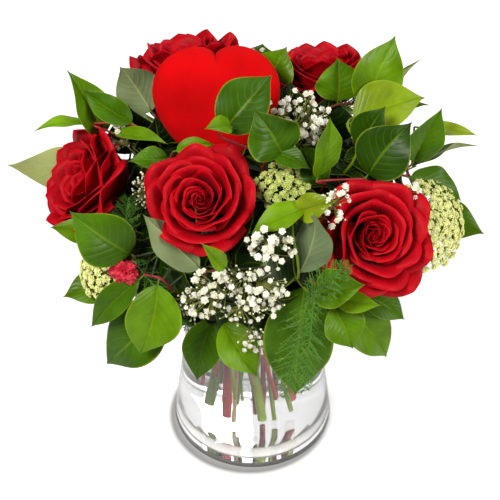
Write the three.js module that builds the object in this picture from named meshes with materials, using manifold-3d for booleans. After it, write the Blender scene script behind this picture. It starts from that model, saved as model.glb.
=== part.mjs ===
// A bouquet of five red roses, a flocked heart and mixed greenery, standing in a
// tapered glass vase with water. Millimetres, +Z up, -Y is the front, and the
// origin is the centre of the vase's underside.

import * as THREE from 'three';
import { mergeVertices } from 'three/addons/utils/BufferGeometryUtils.js';
import Module from 'manifold-3d';

const wasm = await Module();
wasm.setup();

// Driving dimensions.
const vase = { height: 180, baseRadius: 75, rimRadius: 51, wall: 4.5, floor: 9, heel: 6, lip: 2 };
const waterLevel = 128;
const gap = 0.35;

// The tie holds every stem in one of three rings: a radius, a count of places, and the
// share of the way to the vase's floor that its stems are cut to, long and short in turn.
// Below it the stems spiral out into the water, and above it they fan out to their heads.
const tie = {
  height: 198,
  rings: { inner: [6.5, 5, [1, 0.92]], middle: [13.5, 13, [0.93, 0.8]], outer: [21.5, 15, [0.76, 0.66]] },
};
const tieBand = { radius: 29.4, width: 7, thickness: 1.6 };
const footSpread = { x: 2.1, y: 1.5, spiral: THREE.MathUtils.degToRad(65) };

const roseSize = { radius: 40, top: 21, base: 31, stemRadius: 3.2 };
const heartSize = { width: 102, thickness: 44, centre: [-29, 22, 333], facing: [0.05, -0.88, 0.47] };
const twigRadius = 1.6;

// The ring place of each stem, by name: [ring, place], counted anticlockwise from +X.
const places = {
  salal_centre: ['inner', 0],
  gypsophila_rear: ['inner', 1],
  heart_stick: ['inner', 2],
  salal_inner_left: ['inner', 3],
  lace_flower_middle: ['inner', 4],
  salal_right_upper: ['middle', 0],
  gypsophila_top: ['middle', 1],
  rose_back_right: ['middle', 3],
  rose_back_left: ['middle', 4],
  gypsophila_left: ['middle', 5],
  rose_left: ['middle', 6],
  fern_left: ['middle', 7],
  rose_front: ['middle', 8],
  gypsophila_front: ['middle', 9],
  salal_front: ['middle', 10],
  fern_front: ['middle', 11],
  rose_right: ['middle', 12],
  salal_right_side: ['outer', 0],
  salal_right_back: ['outer', 1],
  salal_back_right: ['outer', 2],
  salal_rear_low_right: ['outer', 3],
  salal_back: ['outer', 4],
  salal_rear_low_left: ['outer', 5],
  salal_back_left: ['outer', 6],
  salal_left_back: ['outer', 7],
  lace_flower_left: ['outer', 8],
  salal_left_front: ['outer', 9],
  salal_left_low: ['outer', 10],
  salal_front_left: ['outer', 11],
  salal_front_right: ['outer', 12],
  salal_right_low: ['outer', 13],
  lace_flower_right: ['outer', 14],
};

// Each rose: the centre of its widest circle, and the way its face looks.
const roses = {
  rose_front: { centre: [-40, -68, 307], facing: [-0.1, -0.6, 0.8] },
  rose_right: { centre: [92, -75, 278], facing: [0.25, -0.72, 0.62] },
  rose_left: { centre: [-133, -20, 288], facing: [-0.8, -0.25, 0.55] },
  rose_back_left: { centre: [-55, 92, 333], facing: [-0.15, 0.3, 0.94] },
  rose_back_right: { centre: [58, 82, 328], facing: [-0.1, 0.3, 0.95] },
};

// Each lace flower: its umbel's centre, radius and the way it looks.
const laceFlowers = {
  lace_flower_middle: { centre: [23, -58, 313], radius: 21, facing: [0, -0.6, 0.8] },
  lace_flower_right: { centre: [153, -28, 252], radius: 40, facing: [0.55, -0.64, 0.53] },
  lace_flower_left: { centre: [-130, -65, 236], radius: 26, facing: [-0.72, -0.5, 0.45] },
};

// Each leaf of a sprig: where it leaves the twig, its tip, its width, and the way
// its shiny top face looks. The twig runs through its leaves in this order.
const forward = [0, -0.6, 0.8];
const backward = [0, 0.6, 0.8];
const sprigs = {
  salal_centre: [
    [[13, -43, 335], [42, -60, 331], 16, forward],
    [[4, -46, 330], [2, -42, 371], 36, [0, -0.9, 0.3]],
    [[-26, -36, 344], [14, -12, 383], 36, [-0.2, -0.8, 0.6]],
    [[-16, -42, 356], [-35, -60, 367], 14, forward],
  ],
  salal_inner_left: [
    [[-64, -27, 316], [-95, -36, 321], 18, forward],
    [[-62, -26, 322], [-30, -24, 328], 12, forward],
  ],
  salal_left_back: [
    [[-120, 40, 266], [-205, 26, 270], 38, [0.1, -0.4, 0.9]],
    [[-116, 24, 298], [-145, 25, 367], 32, [0, -0.9, 0.4]],
    [[-102, 22, 312], [-133, 25, 350], 22, forward],
    [[-118, 12, 320], [-163, -10, 341], 12, forward],
    [[-112, 2, 326], [-68, -30, 346], 14, forward],
  ],
  salal_back_left: [
    [[-80, 50, 292], [-113, 50, 347], 32, forward],
    [[-76, 46, 300], [-76, 55, 346], 24, forward],
    [[-92, 60, 288], [-150, 75, 310], 38, [-0.3, 0.5, 0.8]],
  ],
  salal_back: [
    [[-5, 110, 280], [-30, 165, 290], 40, backward],
    [[5, 112, 290], [40, 160, 305], 38, backward],
    [[0, 108, 294], [8, 148, 318], 36, backward],
    [[12, 58, 325], [27, 62, 363], 34, forward],
  ],
  salal_back_right: [
    [[85, 55, 290], [150, 80, 300], 40, [0.3, 0.5, 0.8]],
    [[110, 60, 300], [138, 88, 338], 36, backward],
    [[68, 28, 330], [67, 40, 366], 36, forward],
  ],
  salal_right_back: [
    [[80, -20, 312], [99, -18, 359], 26, forward],
    [[80, 0, 316], [132, 10, 349], 38, forward],
    [[92, 16, 326], [111, 40, 387], 38, [0, -0.9, 0.4]],
  ],
  salal_right_side: [
    [[140, 30, 222], [199, 12, 210], 32, forward],
    [[130, 35, 260], [190, 55, 275], 38, [0.3, 0.5, 0.8]],
    [[122, 5, 285], [178, -2, 275], 18, forward],
    [[122, -6, 296], [147, -5, 347], 26, forward],
    [[124, 8, 318], [178, 5, 317], 12, forward],
  ],
  salal_right_upper: [
    [[55, -46, 305], [39, -42, 340], 20, forward],
    [[50, -54, 308], [55, -50, 369], 22, forward],
    [[84, -42, 312], [119, -32, 354], 36, forward],
  ],
  salal_right_low: [
    [[60, -88, 228], [110, -95, 166], 36, forward],
    [[85, -85, 229], [120, -95, 209], 22, forward],
  ],
  salal_front_right: [
    [[48, -84, 205], [48, -108, 160], 22, forward],
    [[38, -96, 226], [37, -118, 140], 44, [-0.1, -0.85, 0.5]],
    [[60, -106, 238], [77, -125, 206], 30, forward],
    [[58, -108, 243], [96, -118, 246], 14, forward],
    [[44, -106, 248], [82, -122, 270], 26, forward],
  ],
  salal_front: [
    [[34, -92, 256], [46, -100, 322], 26, [0, 0.8, -0.4]],
    [[36, -86, 300], [62, -96, 318], 14, forward],
    [[24, -92, 300], [-16, -116, 290], 20, forward],
  ],
  salal_front_left: [
    [[-30, -78, 202], [-46, -103, 147], 30, forward],
    [[-26, -88, 204], [4, -116, 166], 30, forward],
    [[-36, -104, 254], [-82, -102, 284], 30, forward],
    [[-20, -108, 272], [-37, -120, 308], 12, forward],
  ],
  salal_left_low: [
    [[-58, -82, 226], [-122, -90, 153], 42, forward],
    [[-72, -94, 252], [-89, -120, 193], 46, forward],
    [[-84, -88, 250], [-131, -90, 195], 16, forward],
  ],
  salal_left_front: [
    [[-104, -44, 212], [-156, -58, 200], 24, forward],
    [[-92, -80, 244], [-108, -86, 250], 12, forward],
    [[-92, -76, 258], [-138, -76, 302], 40, forward],
    [[-118, -64, 266], [-157, -64, 278], 18, forward],
  ],
  salal_rear_low_right: [
    [[60, 60, 220], [120, 90, 180], 38, [0.3, 0.7, 0.6]],
    [[40, 85, 240], [50, 150, 225], 42, backward],
    [[60, 95, 262], [110, 135, 250], 40, backward],
  ],
  salal_rear_low_left: [
    [[-70, 60, 220], [-130, 75, 190], 40, [-0.3, 0.7, 0.6]],
    [[-30, 85, 238], [-50, 150, 215], 42, backward],
    [[-60, 95, 260], [-110, 135, 245], 40, backward],
  ],
};

// Each gypsophila stem carries loose clouds of tiny flowers: centre, half-sizes, count.
const gypsophila = {
  gypsophila_front: [
    [[-14, -110, 252], [42, 10, 30], 16],
    [[30, -112, 232], [18, 8, 18], 4],
    [[60, -92, 316], [10, 8, 18], 4],
  ],
  gypsophila_top: [
    [[38, 6, 330], [26, 12, 26], 12],
    [[78, 42, 334], [14, 8, 12], 4],
  ],
  gypsophila_left: [
    [[-98, -8, 322], [14, 10, 18], 8],
    [[-84, -52, 312], [10, 8, 22], 6],
  ],
  gypsophila_rear: [
    [[10, 130, 300], [34, 18, 20], 9],
    [[70, 135, 290], [20, 12, 16], 6],
  ],
};

// Each fern stem carries flat feathery fronds: where it starts, its tip and its width.
const ferns = {
  fern_front: [
    [[28, -104, 215], [52, -128, 165], 20, forward],
    [[30, -110, 225], [64, -134, 300], 22, forward],
  ],
  fern_left: [
    [[-94, -40, 242], [-118, -52, 284], 22, forward],
    [[-96, -52, 246], [-128, -100, 230], 14, forward],
  ],
};

const look = (color, roughness, metalness = 0) =>
  new THREE.MeshStandardMaterial({ color, roughness, metalness });
const looks = {
  glass: look(0xe6efee, 0.03),
  water: look(0xdfe9ea, 0.05),
  raffia: look(0xb59a63, 0.8),
  petal: look(0xa50b1c, 0.7),
  roseStem: look(0x4e7a2c, 0.5),
  flock: look(0xd40f16, 0.95),
  wood: look(0xcaa873, 0.7),
  lace: look(0xb9bf74, 0.7),
  salal: look(0x3f7d24, 0.35),
  gypsophila: look(0xf2f0e4, 0.7),
  fern: look(0x3d7a33, 0.6),
};

// Geometry helpers.
const vec = (point) => new THREE.Vector3(...point);

function solidOf(geometry) {
  const bare = geometry.clone();
  bare.deleteAttribute('normal');
  bare.deleteAttribute('uv');
  const merged = mergeVertices(bare, 1e-4);
  const vertProperties = new Float32Array(merged.attributes.position.array);
  const triVerts = new Uint32Array(merged.index.array);
  return new wasm.Manifold(new wasm.Mesh({ numProp: 3, vertProperties, triVerts }));
}

function geometryOf(solid) {
  const mesh = solid.getMesh();
  const geometry = new THREE.BufferGeometry();
  geometry.setAttribute('position', new THREE.BufferAttribute(mesh.vertProperties, 3));
  geometry.setIndex(new THREE.BufferAttribute(mesh.triVerts, 1));
  geometry.computeVertexNormals();
  return geometry;
}

const join = (geometries) => geometries.map(solidOf).reduce((whole, next) => whole.add(next));

// A closed skin from a list of points and triangles, turned so that it faces out.
function skin(points, faces) {
  let volume = 0;
  for (const [a, b, c] of faces) volume += points[a].dot(points[b].clone().cross(points[c]));
  const outward = volume > 0 ? faces : faces.map(([a, b, c]) => [a, c, b]);
  const geometry = new THREE.BufferGeometry().setFromPoints(points);
  geometry.setIndex(outward.flat());
  geometry.computeVertexNormals();
  return geometry;
}

// A skin of closed rings of points, with a single point at each end.
function ringSkin(start, rings, end) {
  const count = rings[0].length;
  const points = [start, ...rings.flat(), end];
  const last = points.length - 1;
  const at = (ring, i) => 1 + ring * count + (i % count);
  const faces = [];
  for (let i = 0; i < count; i++) {
    faces.push([0, at(0, i), at(0, i + 1)]);
    for (let ring = 0; ring < rings.length - 1; ring++) {
      faces.push([at(ring, i), at(ring + 1, i), at(ring + 1, i + 1)]);
      faces.push([at(ring, i), at(ring + 1, i + 1), at(ring, i + 1)]);
    }
    faces.push([last, at(rings.length - 1, i + 1), at(rings.length - 1, i)]);
  }
  return skin(points, faces);
}

function curveThrough(points) {
  return new THREE.CatmullRomCurve3(points.map((p) => p.clone()), false, 'centripetal');
}

function tube(curve, radius, sides, steps) {
  const section = new THREE.Shape();
  for (let i = 0; i < sides; i++) {
    const angle = (2 * Math.PI * i) / sides;
    const [x, y] = [radius * Math.cos(angle), radius * Math.sin(angle)];
    if (i === 0) section.moveTo(x, y);
    else section.lineTo(x, y);
  }
  section.closePath();
  return new THREE.ExtrudeGeometry(section, { steps, extrudePath: curve, curveSegments: 1 });
}

const rod = (from, to, radius, sides = 4) => tube(new THREE.LineCurve3(from, to), radius, sides, 1);

// Turns and moves a geometry made looking along +Z.
function aim(geometry, facing, centre) {
  const turn = new THREE.Quaternion().setFromUnitVectors(new THREE.Vector3(0, 0, 1), vec(facing).normalize());
  return geometry.applyQuaternion(turn).translate(...centre);
}

// A steady stream of numbers from 0 to 1, the same at every build.
function steadyRandom(seed) {
  let state = seed;
  return () => {
    state = (state * 16807) % 2147483647;
    return state / 2147483647;
  };
}

// Stems: the tie point, the foot below it, and the run from the foot to the tie.
function tiePoint(name) {
  const [ring, place] = places[name];
  const [radius, count] = tie.rings[ring];
  const angle = (2 * Math.PI * place) / count;
  return new THREE.Vector3(radius * Math.cos(angle), radius * Math.sin(angle), tie.height);
}

function footPoint(name, radius) {
  const [ring, place] = places[name];
  const reach = tie.rings[ring][2][place % 2];
  const held = tiePoint(name);
  const turned = held.clone().applyAxisAngle(new THREE.Vector3(0, 0, 1), footSpread.spiral);
  const low = vase.floor + gap + radius * 0.4;
  return held.lerp(new THREE.Vector3(turned.x * footSpread.x, turned.y * footSpread.y, low), reach);
}

// A stem is straight from its foot to just above the tie, and bends to its head there.
function stemCurve(name, radius, upper) {
  const foot = footPoint(name, radius);
  const held = tiePoint(name);
  const straight = [0, 0.5, 0.95, 1.05].map((share) => foot.clone().lerp(held, share));
  return curveThrough([...straight, ...upper]);
}

// The vase and the water in it. The water is cut clear of every stem that stands in it.
const wallAt = (z) => THREE.MathUtils.lerp(vase.baseRadius, vase.rimRadius, z / vase.height);

function vaseGeometry() {
  const { height, baseRadius, rimRadius, wall, floor, heel, lip } = vase;
  const inner = (z) => wallAt(z) - wall;
  const outline = [
    [0, 0],
    [baseRadius - heel, 0],
    [baseRadius - heel * 0.3, heel * 0.3],
    [wallAt(heel), heel],
    [wallAt(height / 2), height / 2],
    [rimRadius, height - lip],
    [rimRadius - lip / 2, height],
    [rimRadius - wall + lip / 2, height],
    [inner(height - lip), height - lip],
    [inner(height / 2), height / 2],
    [inner(floor + heel), floor + heel],
    [inner(floor + heel) - heel, floor],
    [0, floor],
  ];
  return new THREE.LatheGeometry(outline.map(([x, z]) => new THREE.Vector2(x, z)), 40).rotateX(Math.PI / 2);
}

function waterGeometry(stems) {
  const inner = (z) => wallAt(z) - vase.wall - gap;
  const bottom = vase.floor + gap;
  const heelTop = vase.floor + vase.heel;
  const outline = [
    [0, bottom],
    [inner(heelTop) - vase.heel, bottom],
    [inner(heelTop), heelTop + gap],
    [inner(waterLevel), waterLevel],
    [0, waterLevel],
  ];
  const full = new THREE.LatheGeometry(outline.map(([x, z]) => new THREE.Vector2(x, z)), 40);
  let water = solidOf(full.rotateX(Math.PI / 2));
  for (const { name, radius } of stems) {
    const foot = footPoint(name, radius);
    const held = tiePoint(name);
    const below = foot.clone().lerp(held, -0.1);
    water = water.subtract(solidOf(rod(below, held, radius * 1.2 + gap, 6)));
  }
  return geometryOf(water);
}

function tieGeometry() {
  const { radius, width, thickness } = tieBand;
  const [low, high] = [tie.height - width / 2, tie.height + width / 2];
  const outline = [
    [radius, low],
    [radius + thickness, low + thickness],
    [radius + thickness, high - thickness],
    [radius, high],
    [radius, low],
  ];
  return new THREE.LatheGeometry(outline.map(([x, z]) => new THREE.Vector2(x, z)), 24).rotateX(Math.PI / 2);
}

// A bloom: rings of petal rims from the eye outwards, then the underside of the
// outer petals down to the base. Each row is a radius, a height and a petal count.
const bloomRings = [
  [4, 16, 2],
  [7, 11, 2],
  [12, 20, 3],
  [16, 12, 3],
  [22, 21, 5],
  [26, 12, 5],
  [32, 17, 5],
  [34, 9, 5],
  [40, 6, 5],
  [37, 0, 5],
  [30, -14, 5],
  [17, -26, 5],
];

function bloomGeometry({ centre, facing }) {
  const sides = 15;
  const rings = bloomRings.map(([radius, height, petals], row) => {
    const points = [];
    for (let i = 0; i < sides; i++) {
      const angle = (2 * Math.PI * i) / sides;
      const ripple = Math.cos(petals * angle + row * 1.3);
      const r = radius * (1 - 0.04 + 0.04 * ripple);
      points.push(new THREE.Vector3(r * Math.cos(angle), r * Math.sin(angle), height + 1.2 * ripple));
    }
    return points;
  });
  const eye = new THREE.Vector3(0, 0, 13);
  const base = new THREE.Vector3(0, 0, -roseSize.base);
  return aim(ringSkin(eye, rings, base), facing, centre);
}

// The stem of a rose, with the hip and its five turned-back sepals under the bloom.
function roseStemGeometry(name, { centre, facing }) {
  const axis = vec(facing).normalize();
  const along = (distance) => vec(centre).addScaledVector(axis, -distance);
  const hipTop = roseSize.base + gap;
  const curve = stemCurve(name, roseSize.stemRadius, [along(70), along(hipTop + 8)]);
  const hip = ringSkin(
    new THREE.Vector3(0, 0, -hipTop),
    [[6, 3], [5, 11]].map(([radius, drop]) => circle(radius, -hipTop - drop, 6)),
    new THREE.Vector3(0, 0, -hipTop - 14),
  );
  const pieces = [tube(curve, roseSize.stemRadius, 6, 12), aim(hip, facing, centre)];
  for (let i = 0; i < 5; i++) {
    const angle = (2 * Math.PI * i) / 5;
    const spread = (radius, drop) => [radius * Math.cos(angle), radius * Math.sin(angle), -hipTop - drop];
    const sepal = leafGeometry([spread(3, 5), spread(24, 14), 7, [0, 0, 1]], { stations: [[0.3, 1]] });
    pieces.push(aim(sepal, facing, centre));
  }
  return geometryOf(join(pieces));
}

function circle(radius, height, count) {
  const points = [];
  for (let i = 0; i < count; i++) {
    const angle = (2 * Math.PI * i) / count;
    points.push(new THREE.Vector3(radius * Math.cos(angle), radius * Math.sin(angle), height));
  }
  return points;
}

// The heart: a plump shell over a tall heart outline, 32 units wide, on a thin stick.
const heartWave = [18.5, -4, -1.8, -0.3];

function heartOutline(turn) {
  const across = 16 * Math.sin(turn) ** 3;
  const up = heartWave.reduce((sum, size, i) => sum + size * Math.cos((i + 1) * turn), 0);
  return [(across * heartSize.width) / 32, (up * heartSize.width) / 32];
}

function heartGeometry() {
  const sides = 24;
  const rings = [];
  for (const [reach, height] of [[0.45, 0.95], [0.8, 0.68], [1, 0], [0.8, -0.68], [0.45, -0.95]]) {
    const ring = [];
    for (let i = 0; i < sides; i++) {
      const [x, y] = heartOutline((2 * Math.PI * (i + 0.5)) / sides);
      ring.push(new THREE.Vector3(x * reach, y * reach, (height * heartSize.thickness) / 2));
    }
    rings.push(ring);
  }
  const cap = new THREE.Vector3(0, 0, heartSize.thickness / 2);
  return ringSkin(cap, rings, cap.clone().negate());
}

// The heart stands upright as it looks forwards: its own up stays in the upright plane.
function placeHeart(geometry) {
  const front = vec(heartSize.facing).normalize();
  const side = new THREE.Vector3(0, 0, 1).cross(front).normalize();
  const up = front.clone().cross(side);
  const turn = new THREE.Matrix4().makeBasis(side, up, front).setPosition(...heartSize.centre);
  return geometry.applyMatrix4(turn);
}

function heartStickGeometry() {
  const tipHeight = heartOutline(Math.PI)[1] - gap;
  const tip = placeHeart(new THREE.BufferGeometry().setFromPoints([
    new THREE.Vector3(0, tipHeight, 0),
    new THREE.Vector3(0, tipHeight - 12, 0),
  ])).attributes.position;
  const top = new THREE.Vector3().fromBufferAttribute(tip, 0);
  const below = new THREE.Vector3().fromBufferAttribute(tip, 1);
  return tube(stemCurve('heart_stick', 1.5, [below, top]), 1.5, 6, 14);
}

// A leaf: a thin stalk, then a blade that is a thin lens, pointed at its tip, arched
// along and folded across. Each station is a share of the length and of the width.
const leafStations = [[0.02, 0], [0.12, 0], [0.3, 0.85], [0.5, 1], [0.7, 0.8], [0.88, 0.35]];
const stalkRadius = 0.9;

function leafGeometry([from, to, width, top], { arch = 0.06, fold = 0.15, stations = leafStations } = {}) {
  const base = vec(from);
  const along = vec(to).sub(base);
  const side = along.clone().cross(vec(top)).normalize();
  const normal = side.clone().cross(along).normalize();
  const rise = (t) => arch * along.length() * 4 * t * (1 - t);
  const rings = stations.map(([t, share]) => {
    const half = Math.max(stalkRadius, (width / 2) * share);
    const middle = base.clone().addScaledVector(along, t).addScaledVector(normal, rise(t));
    const at = (x, up) => middle.clone().addScaledVector(side, x).addScaledVector(normal, up);
    return [at(-half, fold * half), at(0, stalkRadius), at(half, fold * half), at(0, -stalkRadius)];
  });
  return ringSkin(base, rings, vec(to));
}

// A sprig: a woody twig from the vase's floor up through its leaves.
function leafyStem(name, radius, leaves, leafShape) {
  const steps = 8 + leaves.length;
  const curve = stemCurve(name, radius, leaves.map(([from]) => vec(from)));
  const spots = curve.getSpacedPoints(steps);
  const pieces = [tube(curve, radius, 4, steps)];
  for (const [from, ...rest] of leaves) {
    const distances = spots.map((spot) => spot.distanceTo(vec(from)));
    const nearest = Math.max(1, distances.indexOf(Math.min(...distances)));
    const rooted = spots[nearest].clone().lerp(spots[nearest - 1], 0.15);
    pieces.push(leafGeometry([rooted.toArray(), ...rest], leafShape));
  }
  return geometryOf(join(pieces));
}

// A thin stalk that swells at its end into a small flower head.
function flowerStalk(from, to, size) {
  const along = to.clone().sub(from);
  const side = new THREE.Vector3(along.y, -along.x, 0.3).cross(along).normalize();
  const across = side.clone().cross(along).normalize();
  const length = along.length();
  const ring = (t, radius) => [0, 1, 2, 3].map((i) => {
    const angle = (Math.PI / 2) * i;
    const middle = from.clone().addScaledVector(along, t);
    return middle.addScaledVector(side, radius * Math.cos(angle)).addScaledVector(across, radius * Math.sin(angle));
  });
  return ringSkin(from, [ring(0.04, 0.6), ring(1 - (1.3 * size) / length, 0.6), ring(1, size)],
    to.clone().addScaledVector(along, (0.6 * size) / length));
}

// A lace flower: a stem, rays from its top, and a flat-topped umbel of small heads.
function laceGeometry(name, { centre, radius, facing }) {
  const axis = vec(facing).normalize();
  const behind = (distance) => vec(centre).addScaledVector(axis, -distance);
  const pieces = [tube(stemCurve(name, 1.5, [behind(radius * 1.6), behind(radius)]), 1.5, 4, 12)];
  const heads = 11;
  for (let i = 0; i < heads; i++) {
    const reach = Math.sqrt((i + 0.3) / heads);
    const angle = i * 2.4;
    const hub = new THREE.Vector3(0, 0, -radius - 0.6);
    const head = new THREE.Vector3(reach * Math.cos(angle), reach * Math.sin(angle), -0.35 * reach * reach);
    pieces.push(aim(flowerStalk(hub, head.multiplyScalar(radius * 0.84), radius * 0.2), facing, centre));
  }
  return geometryOf(join(pieces));
}

const isClear = (a, b) => a.intersect(b).getMesh().triVerts.length === 0;

// Gypsophila: a thin stem that forks to each cloud, and a stalk to each small flower.
// A flower that would touch a piece already standing is left out.
function gypsophilaGeometry(name, clouds, standing) {
  const random = steadyRandom(name.length * 7919);
  const spread = () => random() * 2 - 1;
  const hubs = clouds.map(([centre]) => vec(centre).lerp(new THREE.Vector3(0, 0, tie.height), 0.3));
  const forks = hubs.slice(1).map((hub) => rod(hubs[0], hub, 0.9, 3));
  const knots = hubs.map((hub) => new THREE.OctahedronGeometry(2.4).translate(...hub));
  let spray = join([tube(stemCurve(name, 1.1, [hubs[0]]), 1.1, 4, 10), ...forks, ...knots]);
  clouds.forEach(([centre, halfSizes, count], index) => {
    for (let i = 0; i < count; i++) {
      const direction = new THREE.Vector3(spread(), spread(), spread()).normalize();
      const spot = vec(centre).add(direction.multiply(vec(halfSizes)).multiplyScalar(0.6 + 0.4 * random()));
      const flower = solidOf(flowerStalk(hubs[index], spot, 3.2));
      if (standing.every((other) => isClear(flower, other))) spray = spray.add(flower);
    }
  });
  return geometryOf(spray);
}

// Assembly.
const bouquet = new THREE.Group();

function place(name, geometry, material) {
  const mesh = new THREE.Mesh(geometry, material);
  mesh.name = name;
  bouquet.add(mesh);
  return mesh;
}

place('vase', vaseGeometry(), looks.glass);
place('tie', tieGeometry(), looks.raffia);
place('heart', placeHeart(heartGeometry()), looks.flock);
place('heart_stick', heartStickGeometry(), looks.wood);
for (const [name, rose] of Object.entries(roses)) {
  place(`${name}_bloom`, bloomGeometry(rose), looks.petal);
  place(`${name}_stem`, roseStemGeometry(name, rose), looks.roseStem);
}
for (const [name, flower] of Object.entries(laceFlowers)) place(name, laceGeometry(name, flower), looks.lace);
for (const [name, leaves] of Object.entries(sprigs)) place(name, leafyStem(name, twigRadius, leaves), looks.salal);
for (const [name, fronds] of Object.entries(ferns)) {
  place(name, leafyStem(name, 1.1, fronds, { fold: 0.05 }), looks.fern);
}
for (const [name, clouds] of Object.entries(gypsophila)) {
  const standing = bouquet.children.map((mesh) => solidOf(mesh.geometry));
  place(name, gypsophilaGeometry(name, clouds, standing), looks.gypsophila);
}

const stemRadii = { rose: roseSize.stemRadius, heart: 1.5, lace: 1.5, salal: twigRadius, gypsophila: 1.1, fern: 1.1 };
const stems = Object.keys(places).map((name) => ({ name, radius: stemRadii[name.split('_')[0]] }));
place('water', waterGeometry(stems), looks.water);

export default bouquet;
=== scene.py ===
import math
import random

import bpy
import numpy as np
from mathutils import Matrix, Vector, noise


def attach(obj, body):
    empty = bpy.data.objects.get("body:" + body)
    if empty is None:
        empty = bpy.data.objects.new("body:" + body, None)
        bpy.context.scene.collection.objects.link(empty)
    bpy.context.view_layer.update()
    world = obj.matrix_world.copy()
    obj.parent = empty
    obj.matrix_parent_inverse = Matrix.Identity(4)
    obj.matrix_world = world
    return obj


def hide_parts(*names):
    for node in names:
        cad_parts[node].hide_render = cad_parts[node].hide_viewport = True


# A bouquet of five red roses, a flocked heart and mixed greenery, standing in a glass
# vase of water. The bouquet's places are listed in millimetres, and metres() turns them
# into metres. -Y is the front, and the vase stands on z = 0.

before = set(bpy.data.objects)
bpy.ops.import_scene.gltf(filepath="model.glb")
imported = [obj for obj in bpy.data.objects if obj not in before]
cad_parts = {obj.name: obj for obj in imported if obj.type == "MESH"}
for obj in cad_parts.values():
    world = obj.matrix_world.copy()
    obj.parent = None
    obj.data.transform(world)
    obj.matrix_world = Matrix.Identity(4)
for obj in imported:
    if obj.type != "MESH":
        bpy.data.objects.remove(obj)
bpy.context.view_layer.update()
print("frame loaded:", len(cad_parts), "nodes")

cameraView = {"target": (-0.0025, 0.0, 0.201), "distance": 1.010, "elevation": 40, "lens": 85}


def makeCamera(view):
    elevation = math.radians(view["elevation"])
    target = Vector(view["target"])
    back = Vector((0, -math.cos(elevation), math.sin(elevation)))
    bpy.ops.object.camera_add(location=target + back * view["distance"])
    camera = bpy.context.active_object
    camera.name = "studioCamera"
    camera.rotation_euler = (-back).to_track_quat("-Z", "Y").to_euler()
    camera.data.lens = view["lens"]
    camera.data.sensor_width = 36
    bpy.context.scene.camera = camera
    return target


viewTarget = makeCamera(cameraView)

# Mesh helpers

goldenTurn = 2.39996    # radians from one leaf or floret to the next, which spreads them evenly


def metres(point):
    return Vector(point) * 0.001


def stretched(way, halves):
    return Vector((way.x * halves.x, way.y * halves.y, way.z * halves.z))


def jitter(chance, size):
    return Vector([chance.uniform(-size, size) for _ in range(3)])


def lerp(a, b, share):
    return a + (b - a) * share


def ease(share):
    held = np.clip(share, 0.0, 1.0)
    return held * held * (3 - 2 * held)


def deselectAll():
    bpy.ops.object.select_all(action="DESELECT")


def makeActive(piece):
    deselectAll()
    piece.select_set(True)
    bpy.context.view_layer.objects.active = piece


def cleanMesh(piece, threshold):
    # Merges doubled points and turns every face outwards.
    makeActive(piece)
    bpy.ops.object.mode_set(mode="EDIT")
    bpy.ops.mesh.select_all(action="SELECT")
    bpy.ops.mesh.remove_doubles(threshold=threshold)
    bpy.ops.mesh.normals_make_consistent(inside=False)
    bpy.ops.object.mode_set(mode="OBJECT")


def applyModifier(piece, kind, **settings):
    makeActive(piece)
    modifier = piece.modifiers.new(kind.lower(), kind)
    for key, value in settings.items():
        setattr(modifier, key, value)
    bpy.ops.object.modifier_apply(modifier=modifier.name)


def joinPieces(name, parts):
    deselectAll()
    for part in parts:
        part.select_set(True)
    bpy.context.view_layer.objects.active = parts[0]
    if len(parts) > 1:
        bpy.ops.object.join()
    whole = bpy.context.active_object
    whole.name = name
    whole.data.name = name
    return whole


def vertexPlaces(piece):
    flat = np.empty(len(piece.data.vertices) * 3, np.float32)
    piece.data.vertices.foreach_get("co", flat)
    return flat.reshape(-1, 3).astype(float)


def setPlaces(piece, places):
    piece.data.vertices.foreach_set("co", np.asarray(places, np.float32).ravel())
    piece.data.update()


def paint(piece, attribute, value):
    layer = piece.data.attributes.get(attribute) or piece.data.attributes.new(attribute, "FLOAT", "POINT")
    count = len(piece.data.vertices)
    layer.data.foreach_set("value", np.broadcast_to(np.asarray(value, np.float32), (count,)).copy())


def gridSheet(across, along):
    # A flat grid, with u from -1 to 1 across it and v from 0 to 1 along it.
    deselectAll()
    bpy.ops.mesh.primitive_grid_add(x_subdivisions=across, y_subdivisions=along, size=2)
    sheet = bpy.context.active_object
    places = vertexPlaces(sheet)
    return sheet, places[:, 0], (places[:, 1] + 1) / 2


def copyOf(piece):
    twin = piece.copy()
    twin.data = piece.data.copy()
    bpy.context.scene.collection.objects.link(twin)
    return twin


def removePiece(piece):
    bpy.data.objects.remove(piece, do_unlink=True)


def aimed(facing, centre, spin=0.0):
    # Turns +Z to facing and moves the origin to centre.
    turn = Vector(facing).normalized().to_track_quat("Z", "Y").to_matrix().to_4x4()
    return Matrix.Translation(centre) @ turn @ Matrix.Rotation(spin, 4, "Z")


def stackCopies(name, template, turns, tones=None, attribute="tone"):
    # One mesh that holds a copy of the template at each of the turns.
    places = vertexPlaces(template)
    count = len(places)
    padded = np.hstack([places, np.ones((count, 1))])
    matrices = np.array([np.array(turn) for turn in turns])
    moved = np.einsum("nij,kj->nki", matrices, padded)[:, :, :3].reshape(-1, 3)
    faces = [list(face.vertices) for face in template.data.polygons]
    slots = [face.material_index for face in template.data.polygons]
    allFaces = [[i + count * k for i in face] for k in range(len(turns)) for face in faces]
    mesh = bpy.data.meshes.new(name)
    mesh.from_pydata(moved.tolist(), [], allFaces)
    mesh.polygons.foreach_set("material_index", slots * len(turns))
    for material in template.data.materials:
        mesh.materials.append(material)
    piece = bpy.data.objects.new(name, mesh)
    bpy.context.scene.collection.objects.link(piece)
    if tones is not None:
        paint(piece, attribute, np.repeat(np.asarray(tones), count))
    return piece


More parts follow.
